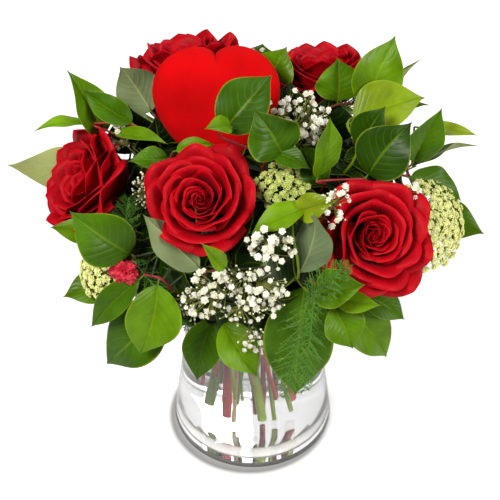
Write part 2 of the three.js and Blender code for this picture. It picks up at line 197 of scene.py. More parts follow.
def tubes(name, routes, roundness=2, material=None, attribute=None, tone=0.0):
    # Each route is a list of (place, radius); they become one mesh of closed tubes.
    curve = bpy.data.curves.new(name, "CURVE")
    curve.dimensions = "3D"
    curve.bevel_depth = 1.0
    curve.bevel_resolution = roundness
    curve.use_fill_caps = True
    for route in routes:
        spline = curve.splines.new("POLY")
        spline.points.add(len(route) - 1)
        for point, (place, radius) in zip(spline.points, route):
            point.co = (*place, 1)
            point.radius = radius
    piece = bpy.data.objects.new(name, curve)
    bpy.context.scene.collection.objects.link(piece)
    makeActive(piece)
    bpy.ops.object.convert(target="MESH")
    piece = bpy.context.active_object
    if material:
        piece.data.materials.append(material)
    if attribute:
        paint(piece, attribute, tone)
    return piece


def smoothRoute(points, perSpan=6):
    # A centripetal curve through the points.
    ends = [points[0] * 2 - points[1], *points, points[-1] * 2 - points[-2]]
    route = []
    for a, b, c, d in zip(ends, ends[1:], ends[2:], ends[3:]):
        t1 = max((b - a).length, 1e-6) ** 0.5
        t2 = t1 + max((c - b).length, 1e-6) ** 0.5
        t3 = t2 + max((d - c).length, 1e-6) ** 0.5
        for step in range(perSpan):
            t = lerp(t1, t2, step / perSpan)
            ab = a * ((t1 - t) / t1) + b * (t / t1)
            bc = b * ((t2 - t) / (t2 - t1)) + c * ((t - t1) / (t2 - t1))
            cd = c * ((t3 - t) / (t3 - t2)) + d * ((t - t2) / (t3 - t2))
            abc = ab * ((t2 - t) / t2) + bc * (t / t2)
            bcd = bc * ((t3 - t) / (t3 - t1)) + cd * ((t - t1) / (t3 - t1))
            route.append(abc * ((t2 - t) / (t2 - t1)) + bcd * ((t - t1) / (t2 - t1)))
    return [*route, points[-1]]


def pieceName(node):
    first, *rest = node.split("_")
    return first + "".join(word.capitalize() for word in rest)


def finishPiece(piece, node, angle=180):
    makeActive(piece)
    if angle < 180:
        bpy.ops.object.shade_smooth_by_angle(angle=math.radians(angle))
    else:
        bpy.ops.object.shade_smooth()
    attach(piece, "root")
    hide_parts(node)
    triangles = sum(len(face.vertices) - 2 for face in piece.data.polygons)
    print(piece.name, triangles, "triangles")


# Material helpers


def addNode(tree, kind, links=None, **settings):
    made = tree.nodes.new("ShaderNode" + kind)
    for key, value in settings.items():
        setattr(made, key, value)
    for socket, source in (links or {}).items():
        if isinstance(source, bpy.types.NodeSocket):
            tree.links.new(source, made.inputs[socket])
        else:
            made.inputs[socket].default_value = source
    return made


def compute(tree, operation, a, b=0.0, clamp=False):
    return addNode(tree, "Math", {0: a, 1: b}, operation=operation, use_clamp=clamp).outputs[0]


def remap(tree, value, low, high, toLow=0.0, toHigh=1.0):
    links = {"Value": value, "From Min": low, "From Max": high, "To Min": toLow, "To Max": toHigh}
    return addNode(tree, "MapRange", links, interpolation_type="SMOOTHSTEP").outputs[0]


def ramp(tree, value, stops):
    made = addNode(tree, "ValToRGB", {0: value})
    elements = made.color_ramp.elements
    while len(elements) < len(stops):
        elements.new(0.5)
    for element, (position, colour) in zip(elements, stops):
        element.position = position
        element.color = (*colour, 1)
    return made.outputs[0]


def mixColour(tree, factor, a, b, blend="MIX"):
    made = addNode(tree, "Mix", data_type="RGBA", blend_type=blend, clamp_result=False)
    for index, source in ((0, factor), (6, a), (7, b)):
        if isinstance(source, bpy.types.NodeSocket):
            tree.links.new(source, made.inputs[index])
        elif index == 0:
            made.inputs[index].default_value = source
        else:
            made.inputs[index].default_value = (*source, 1)
    return made.outputs[2]


def times(tree, a, b):
    return compute(tree, "MULTIPLY", a, b)


def mottled(tree, colour, soft):
    return mixColour(tree, 1.0, colour, soft.outputs["Tone"], "MULTIPLY")


def attributeValue(tree, name):
    return addNode(tree, "Attribute", attribute_name=name).outputs["Fac"]


def newMaterial(name, **shader):
    material = bpy.data.materials.new(name)
    material.use_nodes = True
    tree = material.node_tree
    principled = tree.nodes["Principled BSDF"]
    for socket, value in shader.items():
        principled.inputs[socket.replace("_", " ")].default_value = value
    return material, tree, principled


def newGroup(name, inputs, outputs):
    group = bpy.data.node_groups.new(name, "ShaderNodeTree")
    for label, kind, value in inputs:
        socket = group.interface.new_socket(name=label, in_out="INPUT", socket_type="NodeSocket" + kind)
        if value is not None:
            socket.default_value = value
    for label, kind in outputs:
        group.interface.new_socket(name=label, in_out="OUTPUT", socket_type="NodeSocket" + kind)
    return group, group.nodes.new("NodeGroupInput"), group.nodes.new("NodeGroupOutput")


def useGroup(tree, group, **inputs):
    made = tree.nodes.new("ShaderNodeGroup")
    made.node_tree = group
    for label, value in inputs.items():
        socket = made.inputs[label]
        if isinstance(value, bpy.types.NodeSocket):
            tree.links.new(value, socket)
        else:
            socket.default_value = value
    return made


def addBump(tree, principled, height, strength, distance):
    links = {"Height": height, "Strength": strength, "Distance": distance}
    tree.links.new(addNode(tree, "Bump", links).outputs[0], principled.inputs["Normal"])


def makeMottleGroup():
    # Soft blotches and a fine grain, as plants and cloth have: Tone is near 1, Grain from 0 to 1.
    inputs = [("Blotch", "Float", 60.0), ("Fine", "Float", 900.0), ("Strength", "Float", 0.2)]
    group, given, out = newGroup("mottle", inputs, [("Tone", "Float"), ("Grain", "Float")])
    place = addNode(group, "TexCoord").outputs["Object"]
    blotch = addNode(group, "TexNoise", {"Vector": place, "Scale": given.outputs["Blotch"], "Detail": 3.0})
    fine = addNode(group, "TexNoise", {"Vector": place, "Scale": given.outputs["Fine"], "Detail": 2.0})
    swing = times(group, compute(group, "SUBTRACT", blotch.outputs[0], 0.5), given.outputs["Strength"])
    tone = compute(group, "ADD", times(group, swing, 4.0), 1.0)
    group.links.new(tone, out.inputs["Tone"])
    group.links.new(fine.outputs[0], out.inputs["Grain"])
    return group


mottle = makeMottleGroup()


def makeLeafVeins():
    inputs = [("Place", "Vector", None), ("Pairs", "Float", 7.0), ("Slant", "Float", 0.3)]
    outputs = [("Vein", "Float"), ("Quilt", "Float"), ("Edge", "Float"), ("Along", "Float")]
    group, given, out = newGroup("leafVeins", inputs, outputs)
    split = addNode(group, "SeparateXYZ", {0: given.outputs["Place"]})
    along = split.outputs["Y"]
    centred = compute(group, "SUBTRACT", times(group, split.outputs["X"], 2.0), 1.0)
    across = compute(group, "ABSOLUTE", centred)
    midrib = remap(group, across, 0.015, 0.075, 1.0, 0.0)
    lean = times(group, compute(group, "POWER", across, 1.25), given.outputs["Slant"])
    course = times(group, compute(group, "SUBTRACT", along, lean), given.outputs["Pairs"])
    course = compute(group, "FRACT", compute(group, "ADD", course, 4.0))
    nearVein = times(group, compute(group, "ABSOLUTE", compute(group, "SUBTRACT", course, 0.5)), 2.0)
    sideVein = times(group, remap(group, nearVein, 0.86, 1.0), remap(group, across, 0.98, 0.3, 0.0, 0.65))
    quilt = compute(group, "SUBTRACT", 1.0, compute(group, "POWER", nearVein, 2.0))
    quilt = compute(group, "SUBTRACT", quilt, midrib)
    group.links.new(compute(group, "MAXIMUM", midrib, sideVein), out.inputs["Vein"])
    group.links.new(quilt, out.inputs["Quilt"])
    group.links.new(remap(group, across, 0.92, 1.0), out.inputs["Edge"])
    group.links.new(along, out.inputs["Along"])
    return group


leafVeins = makeLeafVeins()

leafFinish = {
    "tones": [
        # The near-black low end is painted shade, for leaves deep in the bouquet; the rest are the leaves'
        # own greens.
        (0.0, (0.003, 0.010, 0.001)),
        (0.3, (0.018, 0.058, 0.0005)),
        (0.55, (0.047, 0.125, 0.0005)),
        (0.8, (0.115, 0.230, 0.001)),
        (1.0, (0.230, 0.270, 0.010)),
    ],
    "vein": (0.24, 0.36, 0.02),
    "rim": (0.26, 0.33, 0.02),
    "brown": (0.13, 0.055, 0.018),
    "under": ((0.15, 0.21, 0.10), (0.36, 0.40, 0.13)),
    "underVein": (0.42, 0.46, 0.18),
}
stemTones = [    # from a fresh green, by olive and dark green, to red-brown bark and crimson; the near-black stop at 0.62 is painted shade for the hidden stalks inside the bouquet
    (0.0, (0.21, 0.30, 0.008)),
    (0.3, (0.09, 0.155, 0.005)),
    (0.5, (0.17, 0.12, 0.022)),
    (0.62, (0.02, 0.03, 0.008)),
    (0.75, (0.16, 0.03, 0.012)),
    (1.0, (0.34, 0.004, 0.018)),
]
petalShadeAndHighlight = [    # from a petal's foot to its rim: near black at the foot as painted shade deep in the bloom, brightest at the rim as painted light where the rims catch it
    (0.15, (0.020, 0.0, 0.001)),
    (0.55, (0.16, 0.0002, 0.002)),
    (0.82, (0.32, 0.0003, 0.004)),
    (1.0, (0.46, 0.0006, 0.008)),
]


def leafTopMaterial():
    material, tree, shader = newMaterial("leafTop", Specular_IOR_Level=0.15)
    place = addNode(tree, "UVMap", uv_map="UVMap").outputs[0]
    veins = useGroup(tree, leafVeins, Place=place, Pairs=8.0, Slant=0.34)
    soft = useGroup(tree, mottle, Blotch=42.0, Fine=700.0, Strength=0.38)
    # The tone carries the leaf's own green and, at its low end, painted shade.
    colour = ramp(tree, attributeValue(tree, "leafToneAndShade"), leafFinish["tones"])
    colour = mottled(tree, colour, soft)
    colour = mixColour(tree, times(tree, veins.outputs["Vein"], 0.26), colour, leafFinish["vein"])
    colour = mixColour(tree, times(tree, veins.outputs["Edge"], 0.5), colour, leafFinish["rim"])
    tip = remap(tree, veins.outputs["Along"], 0.93, 1.0)
    tip = times(tree, tip, remap(tree, soft.outputs["Tone"], 0.9, 1.15))
    colour = mixColour(tree, tip, colour, leafFinish["brown"])
    tree.links.new(colour, shader.inputs["Base Color"])
    tree.links.new(remap(tree, soft.outputs["Tone"], 0.75, 1.25, 0.30, 0.44), shader.inputs["Roughness"])
    height = compute(tree, "ADD", veins.outputs["Quilt"], times(tree, soft.outputs["Grain"], 0.25))
    addBump(tree, shader, height, 0.3, 0.0005)
    return material


def leafUnderMaterial():
    material, tree, shader = newMaterial("leafUnder", Specular_IOR_Level=0.25, Roughness=0.68)
    place = addNode(tree, "UVMap", uv_map="UVMap").outputs[0]
    veins = useGroup(tree, leafVeins, Place=place, Pairs=8.0, Slant=0.34)
    soft = useGroup(tree, mottle, Blotch=50.0, Fine=800.0, Strength=0.14)
    colour = mixColour(tree, attributeValue(tree, "leafToneAndShade"), *leafFinish["under"])
    colour = mottled(tree, colour, soft)
    colour = mixColour(tree, times(tree, veins.outputs["Vein"], 0.5), colour, leafFinish["underVein"])
    tree.links.new(colour, shader.inputs["Base Color"])
    height = compute(tree, "SUBTRACT", veins.outputs["Vein"], times(tree, veins.outputs["Quilt"], 0.4))
    addBump(tree, shader, height, 0.5, 0.0006)
    return material


def stemMaterial():
    material, tree, shader = newMaterial("stemBark", Specular_IOR_Level=0.4)
    soft = useGroup(tree, mottle, Blotch=70.0, Fine=600.0, Strength=0.22)
    colour = ramp(tree, attributeValue(tree, "stemTone"), stemTones)
    colour = mottled(tree, colour, soft)
    tree.links.new(colour, shader.inputs["Base Color"])
    tree.links.new(remap(tree, soft.outputs["Grain"], 0.3, 0.7, 0.38, 0.6), shader.inputs["Roughness"])
    addBump(tree, shader, soft.outputs["Grain"], 0.35, 0.0005)
    return material


def petalMaterial():
    material, tree, shader = newMaterial(
        "rosePetal", Roughness=0.55, Specular_IOR_Level=0.12,
        Sheen_Weight=0.1, Sheen_Roughness=0.4, Sheen_Tint=(1.0, 0.06, 0.10, 1.0),
    )
    split = addNode(tree, "SeparateXYZ", {0: addNode(tree, "UVMap", uv_map="UVMap").outputs[0]})
    soft = useGroup(tree, mottle, Blotch=70.0, Fine=1400.0, Strength=0.10)
    # Painted shade at each petal's foot and painted light at its rim, along the petal.
    colour = ramp(tree, split.outputs["Y"], petalShadeAndHighlight)
    colour = mottled(tree, colour, soft)
    finely = {"X": times(tree, split.outputs["X"], 60.0), "Y": times(tree, split.outputs["Y"], 3.0)}
    streak = addNode(tree, "CombineXYZ", finely)
    fine = addNode(tree, "TexNoise", {"Vector": streak.outputs[0], "Scale": 1.0, "Detail": 2.0}).outputs[0]
    colour = mixColour(tree, 1.0, colour, remap(tree, fine, 0.25, 0.75, 0.86, 1.1), "MULTIPLY")
    tree.links.new(colour, shader.inputs["Base Color"])
    height = compute(tree, "ADD", fine, times(tree, soft.outputs["Grain"], 0.4))
    addBump(tree, shader, height, 0.3, 0.0003)
    return material


def plainMaterial(name, low, high, blotch, fine, strength, attribute=None, bump=0.3, **shader):
    # A finish that runs from a low to a high colour over the piece's tone, with mottling.
    material, tree, principled = newMaterial(name, **shader)
    soft = useGroup(tree, mottle, Blotch=blotch, Fine=fine, Strength=strength)
    factor = attributeValue(tree, attribute) if attribute else soft.outputs["Grain"]
    colour = mixColour(tree, factor, low, high)
    colour = mottled(tree, colour, soft)
    tree.links.new(colour, principled.inputs["Base Color"])
    addBump(tree, principled, soft.outputs["Grain"], bump, 0.0004)
    return material


def clearMaterial(name, ior, tint, shade, paintedEdgeShade):
    # Clear glass or water, darker where the eye grazes it, which is painted shade for the dark reflections
    # at its edges; it lets the lamps' light through.
    material, tree, shader = newMaterial(name, Roughness=0.0, IOR=ior, Transmission_Weight=1.0)
    facing = addNode(tree, "LayerWeight").outputs["Facing"]
    tree.links.new(ramp(tree, facing, [(0.72, tint), (0.96, paintedEdgeShade)]), shader.inputs["Base Color"])
    clear = addNode(tree, "BsdfTransparent", {0: (*shade, 1)})
    rays = addNode(tree, "LightPath")
    both = addNode(tree, "MixShader")
    tree.links.new(rays.outputs["Is Shadow Ray"], both.inputs[0])
    tree.links.new(shader.outputs[0], both.inputs[1])
    tree.links.new(clear.outputs[0], both.inputs[2])
    tree.links.new(both.outputs[0], tree.nodes["Material Output"].inputs["Surface"])
    return material


leafTop = leafTopMaterial()
leafUnder = leafUnderMaterial()
stemBark = stemMaterial()
rosePetal = petalMaterial()
# The last colour of each is the painted shade where the eye grazes it.
clearGlass = clearMaterial("clearGlass", 1.5, (0.90,) * 3, (0.85,) * 3, (0.28, 0.29, 0.27))
clearWater = clearMaterial("clearWater", 1.33, (0.98,) * 3, (0.98,) * 3, (0.70, 0.71, 0.68))
raffia = plainMaterial("raffia", (0.42, 0.30, 0.13), (0.62, 0.48, 0.25), 90.0, 500.0, 0.2, Roughness=0.8)
wood = plainMaterial("wood", (0.50, 0.34, 0.17), (0.66, 0.48, 0.27), 60.0, 400.0, 0.15, Roughness=0.65)
flock = plainMaterial(
    "flock", (0.40, 0.0, 0.001), (0.62, 0.0005, 0.002), 40.0, 2600.0, 0.16, bump=0.5, Roughness=0.9,
    Specular_IOR_Level=0.08, Sheen_Weight=0.25, Sheen_Roughness=0.5, Sheen_Tint=(1.0, 0.05, 0.05, 1.0),
)
gypsophilaPetal = plainMaterial(
    "gypsophilaPetal", (0.50, 0.48, 0.30), (0.86, 0.85, 0.76), 300.0, 900.0, 0.08, "tone", Roughness=0.7,
)
calyxGreen = plainMaterial(
    "calyxGreen", (0.16, 0.18, 0.03), (0.34, 0.36, 0.08), 200.0, 900.0, 0.1, "tone", Roughness=0.6,
)
laceFloret = plainMaterial(
    "laceFloret", (0.30, 0.38, 0.05), (0.95, 0.96, 0.42), 300.0, 900.0, 0.1, "tone", Roughness=0.7,
)
laceStalk = plainMaterial(
    "laceStalk", (0.20, 0.26, 0.03), (0.32, 0.38, 0.07), 200.0, 900.0, 0.1, Roughness=0.6,
)
fernGreen = plainMaterial(
    "fernGreen", (0.015, 0.075, 0.004), (0.10, 0.28, 0.01), 80.0, 900.0, 0.2, "tone", Roughness=0.55,
)
crumpledRed = plainMaterial(
    "crumpledRed", (0.30, 0.001, 0.006), (0.80, 0.03, 0.07), 500.0, 1500.0, 0.3, Roughness=0.5, bump=0.6,
)
print("materials made")

# The stems' places: rings at the tie, and feet on the vase's floor.

vaseSize = {
    "height": 0.180, "baseRadius": 0.075, "rimRadius": 0.051, "wall": 0.0045, "floor": 0.009,
    "heel": 0.006, "lip": 0.002, "water": 0.128, "steps": 96,
}
tieRings = {    # a radius, a count of places, and how far down long and short stems reach
    "inner": (0.0065, 5, (1.0, 0.92)),
    "middle": (0.0135, 13, (0.93, 0.80)),
    "outer": (0.0215, 15, (0.76, 0.66)),
}
tieHeight = 0.198
footSpread = {"x": 2.1, "y": 1.5, "spiral": math.radians(65)}
stemPlaces = {
    "salal_centre": ("inner", 0), "gypsophila_rear": ("inner", 1), "heart_stick": ("inner", 2),
    "salal_inner_left": ("inner", 3), "lace_flower_middle": ("inner", 4),
    "salal_right_upper": ("middle", 0), "gypsophila_top": ("middle", 1), "rose_back_right": ("middle", 3),
    "rose_back_left": ("middle", 4), "gypsophila_left": ("middle", 5), "rose_left": ("middle", 6),
    "fern_left": ("middle", 7), "rose_front": ("middle", 8), "gypsophila_front": ("middle", 9),
    "salal_front": ("middle", 10), "fern_front": ("middle", 11), "rose_right": ("middle", 12),
    "salal_right_side": ("outer", 0), "salal_right_back": ("outer", 1), "salal_back_right": ("outer", 2),
    "salal_rear_low_right": ("outer", 3), "salal_back": ("outer", 4), "salal_rear_low_left": ("outer", 5),
    "salal_back_left": ("outer", 6), "salal_left_back": ("outer", 7), "lace_flower_left": ("outer", 8),
    "salal_left_front": ("outer", 9), "salal_left_low": ("outer", 10), "salal_front_left": ("outer", 11),
    "salal_front_right": ("outer", 12), "salal_right_low": ("outer", 13), "lace_flower_right": ("outer", 14),
}


def tiePoint(name):
    ring, place = stemPlaces[name]
    radius, count, _ = tieRings[ring]
    angle = 2 * math.pi * place / count
    return Vector((radius * math.cos(angle), radius * math.sin(angle), tieHeight))


def footPoint(name, radius):
    ring, place = stemPlaces[name]
    reach = tieRings[ring][2][place % 2]
    held = tiePoint(name)
    turned = Matrix.Rotation(footSpread["spiral"], 3, "Z") @ held
    low = vaseSize["floor"] + 0.00035 + radius * 0.4
    return held.lerp(Vector((turned.x * footSpread["x"], turned.y * footSpread["y"], low)), reach)


def stemRoute(name, radius, upper, perSpan=6):
    foot = footPoint(name, radius)
    held = tiePoint(name)
    straight = [foot.lerp(held, share) for share in (0, 0.5, 0.95, 1.05)]
    return smoothRoute([*straight, *upper], perSpan)


def barkTube(name, route, radius, tone, tip=0.6, knots=0.0, seed=0):
    # A stem that thins to its tip, with a little unevenness and swollen knots.
    chance = random.Random(seed)
    last = len(route) - 1
    spots = {chance.randint(2, last - 1) for _ in range(int(last / 4))} if knots else set()
    sized = []
    for i, place in enumerate(route):
        swell = 1 + 0.06 * noise.noise(place * 300) + (knots if i in spots else 0)
        sized.append((place, radius * lerp(1.0, tip, i / last) * swell))
    return tubes(name, [sized], material=stemBark, attribute="stemTone", tone=tone)


# Glass vase and water


def spinProfile(name, profile, steps):
    deselectAll()
    mesh = bpy.data.meshes.new(name)
    places = [(radius, 0, height) for radius, height in profile]
    mesh.from_pydata(places, [(i, i + 1) for i in range(len(profile) - 1)], [])
    piece = bpy.data.objects.new(name, mesh)
    bpy.context.scene.collection.objects.link(piece)
    makeActive(piece)
    bpy.ops.object.mode_set(mode="EDIT")
    bpy.ops.mesh.select_all(action="SELECT")
    bpy.ops.mesh.spin(steps=steps, angle=2 * math.pi, center=(0, 0, 0), axis=(0, 0, 1))
    bpy.ops.object.mode_set(mode="OBJECT")
    cleanMesh(piece, 1e-6)
    return piece


def wallAt(z):
    return lerp(vaseSize["baseRadius"], vaseSize["rimRadius"], z / vaseSize["height"])


def arc(centre, radius, start, end, count=6):
    points = []
    for i in range(count + 1):
        angle = math.radians(lerp(start, end, i / count))
        points.append((centre[0] + radius * math.cos(angle), centre[1] + radius * math.sin(angle)))
    return points


def makeVase():
    size = vaseSize
    height, wall, floor, heel, lip = size["height"], size["wall"], size["floor"], size["heel"], size["lip"]
    outerHeel = arc((wallAt(heel) - heel, heel), heel, -90, 5)
    rim = arc((size["rimRadius"] - wall / 2, height - wall / 2), wall / 2, 0, 180, 8)
    innerHeel = arc((wallAt(floor + heel) - wall - heel, floor + heel), heel, 5, -90)
    outside = [(wallAt(z), z) for z in np.linspace(heel * 1.6, height - lip * 1.8, 24)]
    inside = [(wallAt(z) - wall, z) for z in np.linspace(height - lip * 1.8, floor + heel * 1.3, 24)]
    dome = [(0.03, floor + 0.0004), (0.012, floor + 0.0008), (0, floor + 0.0009)]
    foot = [(0, 0.0012), (0.03, 0.0012), (0.055, 0.0010), (0.060, 0)]
    profile = [*foot, *outerHeel, *outside, *rim, *inside, *innerHeel, *dome]
    vase = spinProfile("vase", profile, size["steps"])
    vase.data.materials.append(clearGlass)
    finishPiece(vase, "vase", 40)


def makeWater():
    size = vaseSize
    overlap = 0.0001    # the water stands in the glass with no air between them
    floor, heel, top = size["floor"], size["heel"], size["water"]

    def innerAt(z):
        return wallAt(z) - size["wall"] + overlap

    innerHeel = arc((innerAt(floor + heel) - heel, floor + heel - overlap), heel, -90, 5)
    side = [(innerAt(z), z) for z in np.linspace(floor + heel * 1.3, top, 20)]
    rise = 0.0012    # the water creeps up the glass
    climb = [(innerAt(top + rise), top + rise), (innerAt(top) - rise, top + 0.0002), (0.045, top), (0, top)]
    bottom = [(0, floor + 0.0008), (0.012, floor + 0.0007), (0.03, floor + 0.0003)]
    water = spinProfile("water", [*bottom, *innerHeel, *side, *climb], size["steps"])
    water.data.materials.append(clearWater)
    finishPiece(water, "water", 40)


makeVase()
makeWater()

# The raffia tie

tieShape = {"radius": 0.0302, "strand": 0.0008, "turns": 8, "width": 0.0065, "knot": 0.0009, "seed": 5}


def makeTie():
    tie = tieShape
    chance = random.Random(tie["seed"])
    strands = []
    for i in range(tie["turns"]):
        height = tieHeight + tie["width"] * (i / (tie["turns"] - 1) - 0.5)
        tilt = (chance.uniform(-0.02, 0.02), chance.uniform(-0.02, 0.02), 0)
        deselectAll()
        bpy.ops.mesh.primitive_torus_add(
            major_radius=tie["radius"] + chance.uniform(-0.0002, 0.0003), minor_radius=tie["strand"],
            major_segments=72, minor_segments=8, location=(0, 0, height), rotation=tilt,
        )
        bpy.ops.object.transform_apply(location=True, rotation=True, scale=True)
        strands.append(bpy.context.active_object)
    for side in (-1, 1):
        centre = Vector((side * 0.004, -0.0312, tieHeight))
        loop = []
        for angle in np.linspace(0, 5.5, 14):
            place = centre + Vector((side * 0.006 * math.sin(angle), -0.0005, 0.004 * math.cos(angle)))
            loop.append((place, tie["knot"]))
        strands.append(tubes("knot", [loop]))
    bow = joinPieces("tie", strands)
    bow.data.materials.clear()
    bow.data.materials.append(raffia)
    finishPiece(bow, "tie")


makeTie()

# Leaves

leafShape = {
    "across": 12, "along": 22, "thickness": 0.00035, "stalk": 0.08, "widen": 1.12,
    "peak": 0.80, "base": 0.72, "tip": 0.66,
}


def leafOutline(v):
    body = np.sin(math.pi * np.clip(v, 0, 1) ** leafShape["peak"])
    return np.clip(body, 0, 1) ** (leafShape["base"] + leafShape["tip"] * v ** 2)


def bladePlaces(u, v, leaf, bend):
    # leaf is (from, to, width, facing); bend holds this leaf's own arch, fold, wave, twist and curl.
    start, tip, width, facing = leaf
    along = tip - start
    length = along.length
    side = along.cross(facing).normalized()
    up = side.cross(along).normalized()
    t = lerp(leafShape["stalk"], 1.0, v)
    half = width / 2 * leafShape["widen"] * leafOutline(v)
    ripple = bend["ripples"] * v + bend["phase"] + 0.18 * np.sign(u)
    wave = bend["wave"] * np.sin(2 * math.pi * ripple) * np.abs(u) ** 2
    lift = bend["fold"] * np.abs(u) * half * (1 - 0.25 * np.abs(u))
    rise = bend["arch"] * length * 4 * t * (1 - t) - bend["curl"] * length * np.clip(v - 0.55, 0, 1) ** 2
    course = np.mod((v - 0.34 * np.abs(u) ** 1.25) * 8, 1)
    quilt = 0.00016 * (1 - (np.abs(course - 0.5) * 2) ** 2)
    quilt = quilt * np.minimum(1, np.abs(u) * 3) * (1 - np.abs(u)) * 2
    groove = -0.0006 * np.exp(-(np.abs(u) * half / 0.0011) ** 2)
    x = u * half * (1 - 0.06 * bend["fold"])
    height = lift + wave * half + quilt + groove
    twist = bend["twist"] * (v - 0.3)
    sideways = bend["sway"] * length * np.sin(math.pi * v)
    across = x * np.cos(twist) - height * np.sin(twist) + sideways
    above = x * np.sin(twist) + height * np.cos(twist) + rise
    places = np.outer(t, np.array(along)) + np.outer(across, np.array(side)) + np.outer(above, np.array(up))
    return places + np.array(start)


bendRange = {    # how far one leaf may differ from the next, drawn in this order
    "arch": (0.03, 0.12), "fold": (0.16, 0.46), "wave": (0.04, 0.15), "ripples": (1.2, 2.4),
    "phase": (0.0, 1.0), "twist": (-0.5, 0.5), "curl": (-0.05, 0.30), "sway": (-0.04, 0.04),
}


def randomBend(chance):
    return {name: chance.uniform(*limits) for name, limits in bendRange.items()}


leafGrid, leafU, leafV = gridSheet(leafShape["across"], leafShape["along"])


def leafSheet(leaf, bend, tone):
    sheet = copyOf(leafGrid)
    setPlaces(sheet, bladePlaces(leafU, leafV, leaf, bend))
    paint(sheet, "leafToneAndShade", tone)
    paint(sheet, "stemTone", 0.0)
    return sheet


def leafSet(name, leaves, chance, tones):
    # The blades of one stem, given their thickness, with the pale underside in the second slot.
    sheets = []
    for leaf, tone in zip(leaves, tones):
        sheets.append(leafSheet(leaf, randomBend(chance), tone))
    blades = joinPieces(name, sheets)
    blades.data.materials.clear()
    blades.data.materials.append(leafTop)
    blades.data.materials.append(leafUnder)
    applyModifier(blades, "SOLIDIFY", thickness=leafShape["thickness"], offset=-1, material_offset=1,
                  material_offset_rim=0)
    return blades


